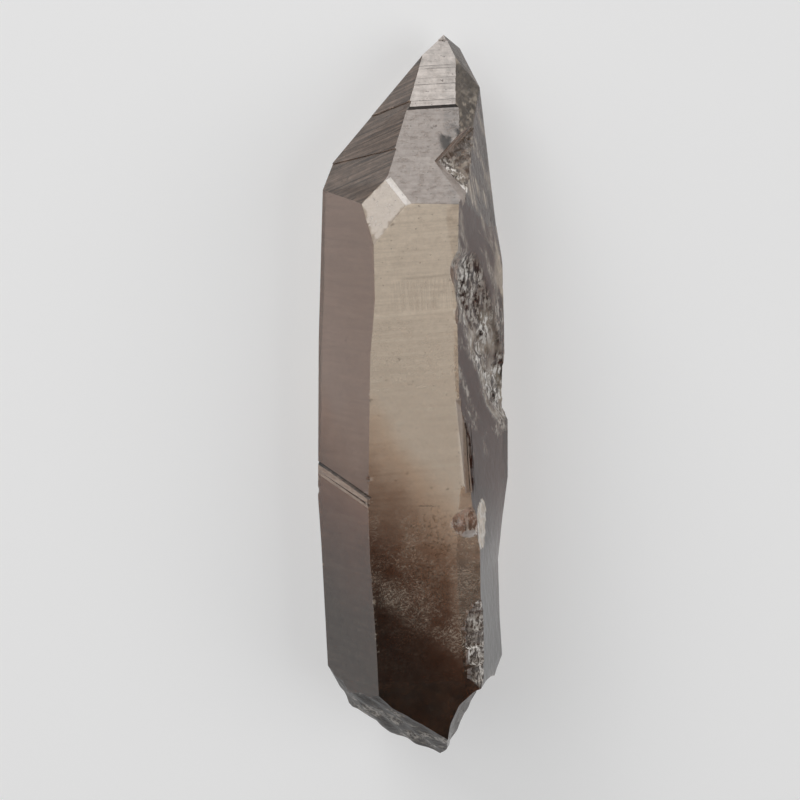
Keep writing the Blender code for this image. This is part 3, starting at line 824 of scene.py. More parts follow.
@dataclass
class WeatheringAndPaintedLight:
    """How the looks change with the place, by wear and by painted light and shade, one method per
    part of the crystal.

    at holds the places of the faces' corners and middle the centres of their faces, both in
    millimetres, and zones the zone index of their faces. looks holds each look's value at every
    corner by its zone alone; the methods change it and fill in the shares of pale splinters and
    painted glints, of wisps and of comb lines, and the shade by which the tone is multiplied:
    mostly painted shade; above one, it lightens a tone.

    front_milk_and_light is the front face's haze_and_light by place along Y, partly milk and
    partly painted light. The wisps begin at a slanting line through wisp_start, the flake glint, a
    painted highlight, is given by share across the right face and place along Y, blotch and chip
    by middle and reach, stair by its limits and notch_side by a point of the notch's left border
    and the way away from it.
    """

    at: Array
    middle: Array
    zones: Array
    looks: dict[str, Array]
    front_milk_and_light: tuple[Pair, ...] = (
        (-26.0, 0.012), (-12.0, 0.19), (4.0, 0.33), (18.0, 0.55), (30.0, 0.76))
    wisp_start: Pair = (-6.2, -33.4)
    wisp_slope: float = 0.665
    crack_width: float = 0.58
    flake_glint_middle: Pair = (0.20, -20.9)
    flake_glint_half: Pair = (0.14, 4.1)
    flake_glint_lean: float = 0.09
    blotch_middle: Pair = (5.2, 43.6)
    blotch_reach: float = 2.6
    ledge_edge: float = 0.02
    stair_y: Pair = (-50.0, -31.5)
    stair_x: float = 7.0
    stair_z: float = 16.0
    chip_middle: Triple = (8.0, -21.0, 28.0)
    chip_reach: float = 4.0
    notch_side: tuple[Pair, Pair] = ((2.4, 40.1), (0.763, 0.646))

    def apply(self) -> dict[str, Array]:
        """Weathers every part, paints light and shade on it and returns the looks.

        Returns:
            Each look's value at every corner.
        """
        for look, value in (("splinter_and_glint", 0.0), ("wisp", 0.0), ("comb", 0.0), ("shade", 1.0)):
            self.looks[look] = np.full(len(self.at), value)
        self.front_face()
        self.left_face()
        self.right_face()
        self.front_slope()
        self.shoulder()
        self.crest()
        self.breaks()
        return self.looks

    def on(self, zone: Zone) -> Array:
        """Whether each corner's face is of that zone."""
        return self.zones == zone.value

    def put(self, look: str, where: Array, value: Array | float) -> None:
        """Gives a look that value at the corners chosen."""
        self.looks[look] = np.where(where, value, self.looks[look])

    def over_right(self) -> Array:
        """Share of the way over the right face, from its front edge to its outer one."""
        return (DEPTH - self.at[:, 2]) / (DEPTH - RIGHT_EDGE_HEIGHT.at(self.at[:, 1]))

    def scatter(self) -> Array:
        """Flecks in 0..1, drawn out along the breaks of the right face."""
        along, side = break_axes(self.over_right() * RIGHT_WIDTH, self.at[:, 1])
        return gentle_step(layered_noise(0.4 * along, side, 1.6, 43), -0.1, 0.5)

    def front_face(self) -> None:
        """The front face: milky towards the point, partly milk and partly painted light, clear
        brown with a fan of wisps by the root.

        The fan lies above a slanting line and is densest along it, and comb lines stand between
        the two ledges.
        """
        x, y, _ = self.at.T
        front = self.on(Zone.FRONT)
        # The haze_and_light here stands partly for light shining through from behind: painted
        # light. The panel brightens a strip by the right edge as painted light too.
        milk_and_light = np.interp(y, *np.transpose(self.front_milk_and_light))
        panel = gentle_step(x, 5.0, 8.0) * gentle_step(-y, 12.0, 16.0)
        self.put("haze_and_light", front, milk_and_light + 0.13 * (panel * gentle_step(y, -40.0, -33.0)))
        lift = y - self.wisp_start[1] + self.wisp_slope * (x - self.wisp_start[0])
        wisp = 0.75 * gentle_step(lift, -2.0, 2.0) * gentle_step(-y, 14.0, 21.0)
        wisp = wisp * (0.55 + 0.45 * gentle_step(x, -6.0, 0.0))
        wisp = wisp + 0.55 * np.exp(-((lift - 1.5) / 2.4) ** 2)
        self.put("wisp", front, wisp + 0.10 * gentle_step(-y, 20.0, 30.0))
        row = y - FRONT_SLANT * (x + 0.9)
        low, high = FRONT_LEDGES
        comb = gentle_step(row, low, low + 0.5) * (1.0 - gentle_step(row, high - 0.6, high))
        self.put("comb", front, comb * gentle_step(x, -6.5, -2.0))

    def left_face(self) -> None:
        """The left face: painted shade in its crack, a painted reflection in the pale band just
        below it and a lighter tone below the crack.
        """
        _, y, z = self.middle.T
        climb = LEFT_CRACK_SLANT * ((DEPTH - z) / (DEPTH - EDGE_HEIGHT) - 0.5) * LONG_WIDTH
        row = y - climb - LEFT_CRACK
        # The crack is darkened as painted shade and the glint band lightened as a painted
        # reflection; below the crack the tone is lightened.
        crack = (row > 0.0) & (row < self.crack_width)
        glint = (row > -LEFT_CRACK_GLINT) & (row < 0.0)
        left, haze_and_light = self.on(Zone.LEFT), self.looks["haze_and_light"]
        self.put("haze_and_light", left, haze_and_light + 0.22 * glint - haze_and_light * crack)
        self.put("shade", left & crack, 0.02)
        self.put("shade", left & (row < 0.0), 2.2)

    def right_face(self) -> None:
        """The right face: pale splinters on its broken band, partly painted glints, with the tone
        darkened beneath them as painted shade; a white flake glint that is a painted highlight;
        pale at its rim.
        """
        y, across = self.at[:, 1], self.over_right()
        wide, right = across * RIGHT_WIDTH, self.on(Zone.RIGHT)
        broken, scatter = BrokenRightFace().depth(y, across), self.scatter()
        rim = gentle_step(across, 0.70, 0.95) * gentle_step(y, -8.0, 2.0)
        rim = 0.7 * rim * gentle_step(layered_noise(wide, 0.5 * y, 2.0, 35), -0.15, 0.4)
        # The flake glint is a painted highlight: a white patch where a broken facet catches the
        # light.
        travel = (y - self.flake_glint_middle[1]) / self.flake_glint_half[1]
        side = across - self.flake_glint_middle[0] - self.flake_glint_lean * travel
        flake_glint = travel ** 4 + (side / self.flake_glint_half[0]) ** 2
        flake_glint = 0.9 * gentle_step(1.1 - flake_glint - 0.5 * layered_noise(wide, y, 0.9, 55), 0.0, 0.35)
        upper = 0.35 * scatter * gentle_step(y, 10.0, 24.0)
        patches = 0.55 * scatter * gentle_step(broken, 0.12, 0.5)
        self.put("haze_and_light", right, np.maximum.reduce((self.looks["haze_and_light"], rim, patches, upper, flake_glint)))
        shards = 0.35 + 0.65 * gentle_step(layered_noise(wide, y, 3.0, 47), -0.35, 0.25)
        nicks = 0.55 * scatter * gentle_step(y, -12.0, -4.0) * (1.0 - gentle_step(y, 26.0, 32.0))
        splinter_and_glint = np.maximum.reduce((gentle_step(broken, 0.05, 0.5) * shards, nicks, flake_glint))
        self.put("splinter_and_glint", right, splinter_and_glint)
        # Darker where splintered: painted shade.
        self.put("shade", right, 1.0 - 0.9 * splinter_and_glint)

    def front_slope(self) -> None:
        """The front slope: milky above its first ledge, partly milk and partly painted sheen,
        painted shade in its ledges and dark on a rough blotch.
        """
        x, y, _ = self.at.T
        slope = self.on(Zone.FRONT_SLOPE)
        blotch = gentle_step(layered_noise(x, y, 1.1, 41), -0.22, 0.05)
        away = np.hypot(x - self.blotch_middle[0], (y - self.blotch_middle[1]) * 0.9)
        blotch = blotch * gentle_step(self.blotch_reach - away, 0.0, 0.8)
        across = unit(np.cross(slope_normal(0.0), FRONT_SLOPE_GRAIN))
        rows = (self.middle - FRONT_SLOPE_FOOT) @ across
        edge = self.ledge_edge
        ledge = np.any([(rows > step.place - edge) & (rows < step.place + step.run + edge)
                        for step in FRONT_SLOPE_STEPS], axis=0)
        # The ledges are darkened as painted shade of their steep walls, and the haze_and_light
        # above the first ledge is partly painted sheen.
        dark = np.maximum(blotch, ledge)
        milk_and_light = np.where(rows > FRONT_SLOPE_MILK_AND_SHEEN, 0.86, 0.40)
        self.put("haze_and_light", slope, milk_and_light * (1.0 - 0.85 * blotch))
        self.put("haze_and_light", slope & ledge, 0.02)
        self.put("shade", slope, 1.0 - 0.97 * dark)
        self.put("polish", slope, self.looks["polish"] + 0.35 * dark)

    def shoulder(self) -> None:
        """The right shoulder: frosted face and notch mottled, steep face flecked, notch splintered
        with pale splinters that are partly painted glints and darkened beneath them as painted
        shade.
        """
        x, y, z = self.at.T
        mottle = gentle_step(layered_noise(x * 1.3, y - z, 0.9, 39), -0.05, 0.40)
        mottle = mottle * (1.0 - 0.75 * gentle_step(y, 49.0, 52.0))
        flecks = 0.35 * self.scatter() * gentle_step(50.0 - y, 0.0, 6.0)
        self.put("haze_and_light", self.on(Zone.FROSTED), 0.10 + 0.48 * mottle)
        self.put("haze_and_light", self.on(Zone.STEEP), 0.04 + flecks)
        side, way = self.notch_side
        foot = way[0] * (x - side[0]) + way[1] * (y - side[1])
        splinter_and_glint = 0.95 - 0.85 * gentle_step(foot, 1.2, 2.6)
        notch = self.on(Zone.NOTCH)
        self.put("haze_and_light", notch, 0.05 + 0.30 * mottle)
        self.put("splinter_and_glint", notch, splinter_and_glint)
        # Darker where splintered: painted shade.
        self.put("shade", notch, 1.0 - 0.9 * splinter_and_glint)

    def crest(self) -> None:
        """The tip, worn pale where the front slope and the frosted face end."""
        x, y, _ = self.at.T
        worn = gentle_step(y, 55.0, 57.5) * gentle_step(layered_noise(x, y, 1.0, 45), -0.4, 0.1)
        top = self.on(Zone.FRONT_SLOPE) | self.on(Zone.FROSTED)
        self.put("haze_and_light", top, np.maximum(self.looks["haze_and_light"], 0.8 * worn))

    def breaks(self) -> None:
        """The stair and the chip of the front right edge, and the root, all splintered with pale
        splinters that are partly painted glints; the chip's tone is lightened as painted light.
        """
        x, y, z = self.at.T
        broken = self.on(Zone.BROKEN)
        stair = broken & (y > self.stair_y[0]) & (y < self.stair_y[1])
        stair = stair & (x > self.stair_x) & (z > self.stair_z)
        away = np.linalg.norm(self.at - np.array(self.chip_middle), axis=1)
        chip = broken & (away < self.chip_reach)
        stepped = gentle_step(layered_noise(x, y, 1.5, 53), -0.35, 0.15)
        glints = gentle_step(layered_noise(x, y + z, 3.0, 49), 0.0, 0.35)
        # The stair's and the root's pale splinters are mostly painted glints.
        self.put("splinter_and_glint", stair, 0.25 + 0.75 * stepped)
        self.put("splinter_and_glint", chip, 0.40)
        # Lightened against the darkness that the chip shows: painted light.
        self.put("shade", chip, 3.2)
        self.put("splinter_and_glint", self.on(Zone.ROOT), 0.04 + 0.5 * glints)


# ---- The crystal


@dataclass(frozen=True)
class QuartzCrystal:
    """The crystal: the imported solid, skimmed by its relief sheets and marked zone by zone."""

    name: str = "quartz_crystal"
    node: str = "crystal"
    sharp_angle: float = math.radians(16.0)
    wear_foot: float = -46.0
    small_face: float = 1.0

    def tools(self) -> list[bpy.types.Mesh]:
        """Every relief sheet, in the order in which the faces grew and broke.

        Returns:
            A closed mesh each.
        """
        front = slope_normal(0.0)
        left = normal_through(
            LEFT_SHOULDER, LEFT_SHOULDER_FRONT, FRONT_LEFT_TOP, slope_normal(-FACE_TURN))
        frosted = normal_through(
            FROSTED_FOOT, FRONT_RIGHT_TOP, STEEP_RIGHT_MIDDLE, slope_normal(FACE_TURN))
        steep = normal_through(STEEP_RIGHT_FOOT, STEEP_RIGHT_MIDDLE, STEEP_RIGHT_OUTER, (1, 0, 0))
        tools = [
            LongFace("front_face_tool", Zone.FRONT, (FRONT_LEFT_EDGE, DEPTH),
                     (FRONT_RIGHT_EDGE, DEPTH), (-66.0, 35.0), FRONT_SLANT, 3.0, (
                         GrowthStep(FRONT_LEDGES[0], -0.05, -2.0, 20.0, 0.10),
                         GrowthStep(FRONT_LEDGES[1], 0.04, 6.0, 20.0, 0.05))),
            LongFace("left_face_tool", Zone.LEFT, (FRONT_LEFT_EDGE, DEPTH),
                     (LEFT_EDGE, EDGE_HEIGHT), (-68.0, 42.0), LEFT_CRACK_SLANT, 5.0, (
                         GrowthStep(LEFT_CRACK - LEFT_CRACK_GLINT, 0.0),
                         GrowthStep(LEFT_CRACK, -0.26, run=0.28),
                         GrowthStep(LEFT_CRACK + 0.30, 0.26, run=0.28)),
                     swell=0.04, swell_cell=9.0),
            BrokenRightFace(),
            FlatFace("front_slope_tool", Zone.FRONT_SLOPE, FRONT_SLOPE_FOOT, front,
                     FRONT_SLOPE_GRAIN, (-13.0, 10.0, -2.0, 34.0), 7.0, cell=0.34,
                     steps=FRONT_SLOPE_STEPS),
            FlatFace("left_slope_tool", Zone.LEFT_SLOPE, LEFT_SHOULDER_FRONT, left,
                     (0.76, 0.34, 0.65), (-12.0, 24.0, -6.0, 30.0), 9.0, cell=0.5, swell=0.03),
            FlatFace("frosted_tool", Zone.FROSTED, FROSTED_FOOT, frosted, (0.4, -0.5, 0.3),
                     (-14.0, 14.0, -12.0, 12.0), 11.0, cell=0.35, rough=0.12, rough_cell=1.1),
            BrokenPatch("notch_tool", Zone.NOTCH, NOTCH_APEX, notch_floor(), (4.6, -6.6, 5.0),
                        ((2.4, 40.1), (7.4, 34.2), (11.6, 37.5), (10.4, 46.2), (8.6, 46.0)), 0.5),
            FlatFace("steep_tool", Zone.STEEP, STEEP_RIGHT_MIDDLE, steep, (0, 1, 0),
                     (-20.0, 12.0, -12.0, 12.0), 13.0, cell=0.5, rough=0.06),
            FlatFace("kite_tool", Zone.KITE, KITE_BOTTOM, KITE_NORMAL, (1, 0, 0),
                     (-6.0, 8.0, -2.0, 16.0), 15.0, cell=0.7, skim=0.02, swell=0.01),
            FlatFace("narrow_tool", Zone.NARROW, NARROW_POINT, unit(KITE_NORMAL + front),
                     (0.7, 0.7, 0.0), (-8.0, 9.0, -6.0, 6.0), 17.0, cell=0.7, skim=0.015,
                     swell=0.006),
            RootBreak("root_left_corner_tool", (-11.5, -52.0, 14.0), (-0.72, -0.64, 0.25), 0.45,
                      11),
            RootBreak("root_left_tool", (-3.5, -58.7, 14.0), (-0.50, -0.80, 0.33), 0.8, 17),
            RootBreak("root_right_tool", (8.9, -59.4, 14.0), (0.83, -0.55, 0.08), 0.5, 37),
            RootBreak("root_back_tool", (4.0, -61.9, 17.0), (0.04, -0.86, -0.51), 0.7, 41)]
        return [tool.slab() for tool in tools]

    def blank(self) -> bpy.types.Object:
        """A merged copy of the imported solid, with a slot for every zone.

        Returns:
            The object.
        """
        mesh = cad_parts[self.node].data.copy()
        merged = bmesh.new()
        merged.from_mesh(mesh)
        bmesh.ops.remove_doubles(merged, verts=merged.verts, dist=1e-6)
        merged.to_mesh(mesh)
        merged.free()
        mesh.materials.clear()
        set_zone(mesh, Zone.BROKEN)
        return put_in_scene(self.name, mesh)

    def skim(self, made: bpy.types.Object) -> None:
        """Cuts the blank with every tool and keeps the result as its mesh.

        Args:
            made: The crystal.
        """
        for tool in self.tools():
            holder = put_in_scene(tool.name, tool)
            cut = made.modifiers.new(tool.name, "BOOLEAN")
            cut.operation, cut.solver, cut.object = "DIFFERENCE", "MANIFOLD", holder
            bpy.context.view_layer.update()
            result = bpy.data.meshes.new_from_object(
                made.evaluated_get(bpy.context.evaluated_depsgraph_get()))
            made.modifiers.clear()
            old, made.data = made.data, result
            bpy.data.meshes.remove(old)
            bpy.data.objects.remove(holder)
            bpy.data.meshes.remove(tool)

    @staticmethod
    def zones(mesh: bpy.types.Mesh) -> Array:
        """The zone of each face: its tool's, or one by its normal and place where no tool cut.

        Args:
            mesh: The skimmed crystal.

        Returns:
            One zone index per face.
        """
        zones = read(mesh.polygons, "material_index", kind=np.int32)
        normals, centres = read(mesh.polygons, "normal", 3), read(mesh.polygons, "center", 3)
        x, y, _ = (centres / MM + MIDDLE).T
        zones[(centres[:, 2] < 0.05 * MM) & (normals[:, 2] < -0.9)] = Zone.REST.value
        rules = [(Zone.BEVEL, normals @ unit(BEVEL_NORMAL) > 0.995)]
        rules += [(zone, normals @ unit(LOOKS[zone].normal) > 0.96) for zone in (
            Zone.LEFT_BACK, Zone.RIGHT_BACK, Zone.LEFT_SLOPE, Zone.FRONT_SLOPE, Zone.LEFT)]
        rules.append((Zone.HIDDEN_SLOPE, (y > 24.0) & (normals[:, 2] < -0.3)))
        band = (x > 6.2) & (np.abs(y - 11.0) < 18.0)
        rules.append((Zone.RIGHT, band & (normals @ unit(LOOKS[Zone.RIGHT].normal) > 0.2)))
        notch = (y > 32.0) & (y < 49.0) & (x > 1.5)
        rules.append((Zone.NOTCH, notch & (normals @ notch_floor() > 0.97)))
        for zone, chosen in rules:
            zones[(zones == Zone.BROKEN.value) & chosen] = zone.value
        return zones

    def mark(self, mesh: bpy.types.Mesh) -> None:
        """Writes the looks of each face's corners as attributes and their growth lines as a UV map.

        The map holds (place along the lines, place across them) in millimetres: the dot products
        of a corner's place with the grain and with normal x grain of its zone.

        Args:
            mesh: The crystal's mesh.
        """
        sides = read(mesh.polygons, "loop_total", kind=np.int32)
        zone_of = np.repeat(self.zones(mesh), sides)
        middle = np.repeat(read(mesh.polygons, "center", 3) / MM + MIDDLE, sides, axis=0)
        place = read(mesh.vertices, "co", 3)[read(mesh.loops, "vertex_index", kind=np.int32)] / MM
        by_zone = {label: np.array([getattr(LOOKS[zone], label) for zone in Zone])[zone_of]
                   for label in ("polish", "haze_and_light", "lines", "pits", "hackle", "tone", "bloom")}
        tone, bloom = by_zone.pop("tone"), by_zone.pop("bloom")
        looks = WeatheringAndPaintedLight(place + MIDDLE, middle, zone_of, by_zone).apply()
        tone = tone * looks.pop("shade")[:, None]
        for label, values in (*looks.items(), ("tone", tone), ("bloom", bloom)):
            add_attribute(mesh, label, "CORNER", values)
        grain = np.stack([unit(LOOKS[zone].grain) for zone in Zone])
        cross = np.cross(np.stack([unit(LOOKS[zone].normal) for zone in Zone]), grain)
        uv = np.stack([np.einsum("ij,ij->i", place, way[zone_of]) for way in (grain, cross)], -1)
        for layer in list(mesh.uv_layers):
            mesh.uv_layers.remove(layer)
        mesh.uv_layers.new(name="growth").uv.foreach_set("vector", uv.astype(np.float32).ravel())
        mesh.polygons.foreach_set("material_index", np.zeros(len(sides), dtype=np.int32))

    def mark_edges(self, mesh: bpy.types.Mesh) -> None:
        """Writes 1 on the corners of small faces that lie at a sharp edge above the root.

        Args:
            mesh: The crystal's mesh.
        """
        sharp = read(mesh.attributes["sharp_edge"].data, "value", kind=bool)
        worn = np.zeros(len(mesh.vertices), dtype=bool)
        worn[read(mesh.edges, "vertices", 2, np.int32)[sharp].ravel()] = True
        worn = worn & (read(mesh.vertices, "co", 3)[:, 1] > self.wear_foot * MM)
        small = read(mesh.polygons, "area", kind=np.float32) < self.small_face * MM * MM
        small = np.repeat(small, read(mesh.polygons, "loop_total", kind=np.int32))
        corner = read(mesh.loops, "vertex_index", kind=np.int32)
        add_attribute(mesh, "edge", "CORNER", worn[corner] & small)

    def build(self, material: bpy.types.Material) -> bpy.types.Object:
        """Builds the crystal.

        Args:
            material: Its finish.

        Returns:
            The piece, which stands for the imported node.
        """
        made = self.blank()
        self.skim(made)
        self.mark(made.data)
        made.data.materials.clear()
        made.data.materials.append(material)
        made.data.shade_smooth()
        made.data.set_sharp_from_angle(angle=self.sharp_angle)
        self.mark_edges(made.data)
        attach(made, "root")
        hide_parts(self.node)
        log.info("%s: %d faces", made.name, len(made.data.polygons))
        return made


@dataclass(frozen=True)
class Veil:
    """A thin bent lens inside the crystal: a cloud of specks, an old crack painted pale as a
    reflection, or a dark sheet of painted shade.

    centre is its middle and half its half lengths along its run and across it, in millimetres;
    run and normal turn it, bend is how high it is buckled and thickness its full thickness.
    """

    name: str
    finish: str
    centre: Triple
    run: Triple
    normal: Triple
    half: Pair
    bend: float
    seed: float
    thickness: float = 0.05

    def build(self, material: bpy.types.Material) -> bpy.types.Object:
        """Builds the veil: a ball flattened to (a, b, bend noise(a, b) + thickness cos t / 2).

        Args:
            material: Its finish.

        Returns:
            The piece.
        """
        points, quads = ball(24, 48)
        t = np.arccos(np.clip(points[:, 2], -1.0, 1.0))
        reach = np.where(t < np.pi / 2.0, t, np.pi - t) / (np.pi / 2.0)
        turn = np.arctan2(points[:, 1], points[:, 0])
        a, b = reach * np.cos(turn) * self.half[0], reach * np.sin(turn) * self.half[1]
        height = self.bend * layered_noise(a, b, 9.0, self.seed, 2)
        height = height + 0.5 * self.thickness * points[:, 2]
        place = raised(self.centre, plane_axes(self.normal, self.run), a, b, height)
        mesh = mesh_from(self.name, place, quads)
        add_attribute(mesh, "fade", "POINT", 1.0 - gentle_step(reach, 0.35, 1.0))
        mesh.materials.append(material)
        mesh.shade_smooth()
        made = put_in_scene(self.name, mesh)
        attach(made, "root")
        log.info("%s: %d faces", self.name, len(mesh.polygons))
        return made


@dataclass(frozen=True)
class Inclusions:
    """Everything inside the stone: specks in its darker half, a crack painted pale as a reflection
    and two dark sheets of painted shade.
    """

    veils: tuple[Veil, ...] = (
        Veil("specks_upper", "specks", (2.0, -27.5, 20.0), (0, 1, 0), (-0.15, 0.2, 0.96),
             (12.0, 8.0), 2.2, 51.0),
        Veil("specks_middle", "specks", (0.0, -36.0, 14.0), (0, 1, 0), (0.25, 0.1, 0.95),
             (15.0, 8.5), 2.6, 53.0),
        # A crack whose pale patches are a painted reflection of light off its thin gap.
        Veil("front_crack_reflection", "crack", (2.0, -17.6, 27.3), (1.0, -0.08, 0.0), (0.0, 1.0, 0.1),
             (2.3, 1.3), 0.10, 63.0, 0.14),
        # Two dark sheets along the bevel strip's edges: painted shade for the dark lines that those
        # edges show.
        Veil("sliver_shade_inner", "edge_shade", (8.35, -9.3, 28.2), (-0.077, 1.0, 0.0),
             (1.0, 0.077, 0.0), (8.6, 0.55), 0.12, 65.0, 0.08),
        Veil("sliver_shade_outer", "edge_shade", (9.3, -8.7, 27.6), (-0.09, 1.0, 0.0),
             (1.0, 0.09, 0.0), (8.0, 0.55), 0.16, 67.0, 0.08),
    )

    def build(self) -> None:
        """Builds every veil, with its kind's finish."""
        finishes = {kind: finish.build() for kind, finish in VEIL_FINISHES.items()}
        for veil in self.veils:
            veil.build(finishes[veil.finish])


# ---- Finishes


@dataclass
class NodeBench:
    """Adds and links the nodes of one material or world."""

    tree: bpy.types.NodeTree

    def add(self, kind: str, inputs: dict[str | int, object] | None = None,
            **settings: object) -> bpy.types.Node:
        """A new node.

        Args:
            kind: Its type.
            inputs: What goes into its inputs, by name or number: an output or a plain value.
            settings: Its properties.

        Returns:
            The node.
        """
        node = self.tree.nodes.new(kind)
        for key, value in settings.items():
            setattr(node, key, value)
        for key, value in (inputs or {}).items():
            if isinstance(value, Socket):
                self.tree.links.new(value, node.inputs[key])
            else:
                node.inputs[key].default_value = value
        return node

    def maths(self, operation: str, *values: Socket | float) -> Socket:
        """The operation on numbers or outputs."""
        return self.add("ShaderNodeMath", dict(enumerate(values)), operation=operation).outputs[0]

    def product(self, first: Socket | float, *others: Socket | float) -> Socket | float:
        """The product of numbers or outputs, from the first to the last.

        Args:
            first, others: The numbers or outputs.

        Returns:
            The product.
        """
        for other in others:
            first = self.maths("MULTIPLY", first, other)
        return first

    def stretch(self, vector: Socket, scale: Triple) -> Socket:
        """The vector times a scale per axis."""
        node = self.add("ShaderNodeVectorMath", {0: vector, 1: scale}, operation="MULTIPLY")
        return node.outputs[0]

    @cached_property
    def place(self) -> Socket:
        """The place on the object, in millimetres."""
        return self.stretch(self.add("ShaderNodeTexCoord").outputs["Object"], (1 / MM,) * 3)

    @cached_property
    def growth(self) -> Socket:
        """The place along and across the growth lines, in millimetres."""
        return self.add("ShaderNodeUVMap", uv_map="growth").outputs["UV"]

    def noise(self, vector: Socket, scale: float, detail: float = 3.0,
              rough: float = 0.55) -> Socket:
        """Noise of that scale at the vector."""
        return self.add("ShaderNodeTexNoise", {
            "Vector": vector, "Scale": scale, "Detail": detail, "Roughness": rough}).outputs[0]

    def span(self, value: Socket, low: float, high: float,
             to_low: float = 0.0, to_high: float = 1.0) -> Socket:
        """The value carried from low..high to to_low..to_high, kept within.

        Args:
            value: The value.
            low, high: Where it comes from.
            to_low, to_high: Where it goes to.

        Returns:
            The carried value.
        """
        return self.add("ShaderNodeMapRange", {
            "Value": value, "From Min": low, "From Max": high, "To Min": to_low,
            "To Max": to_high}, clamp=True).outputs["Result"]

    def ramp(self, value: Socket, stops: Sequence[tuple[float, Triple]]) -> Socket:
        """The colour at the value between the stops.

        Args:
            value: The value.
            stops: A place and a colour each.

        Returns:
            The colour.
        """
        node = self.add("ShaderNodeValToRGB", {"Fac": value})
        elements = node.color_ramp.elements
        while len(elements) < len(stops):
            elements.new(0.5)
        for element, (place, colour) in zip(elements, stops):
            element.position = place
            element.color = (*colour, 1.0)
        return node.outputs["Color"]

    def attribute(self, name: str, output: str = "Fac") -> Socket:
        """The mesh attribute of that name, as a number or, from the output Color, a colour."""
        return self.add("ShaderNodeAttribute", attribute_name=name).outputs[output]

    def blend(self, share: Socket | float, first: object, second: object,
              kind: str = "MIX") -> Socket:
        """Two colours mixed by the share, or multiplied."""
        return self.add("ShaderNodeMix", {0: share, 6: first, 7: second},
                        data_type="RGBA", blend_type=kind).outputs[2]

    def mix(self, share: Socket | float, first: Socket, second: Socket) -> Socket:
        """Two shaders mixed by the share."""
        return self.add("ShaderNodeMixShader", {0: share, 1: first, 2: second}).outputs[0]

    def finish(self, **parts: Socket) -> None:
        """The material's output, fed with its Surface and, where given, its Volume."""
        self.add("ShaderNodeOutputMaterial", dict(parts))


def new_material(name: str) -> tuple[bpy.types.Material, NodeBench]:
    """A material with nothing in it, and its bench.

    Args:
        name: Its name.

    Returns:
        The material and its bench.
    """
    material = bpy.data.materials.new(name)
    material.use_nodes = True
    material.node_tree.nodes.clear()
    return material, NodeBench(material.node_tree)


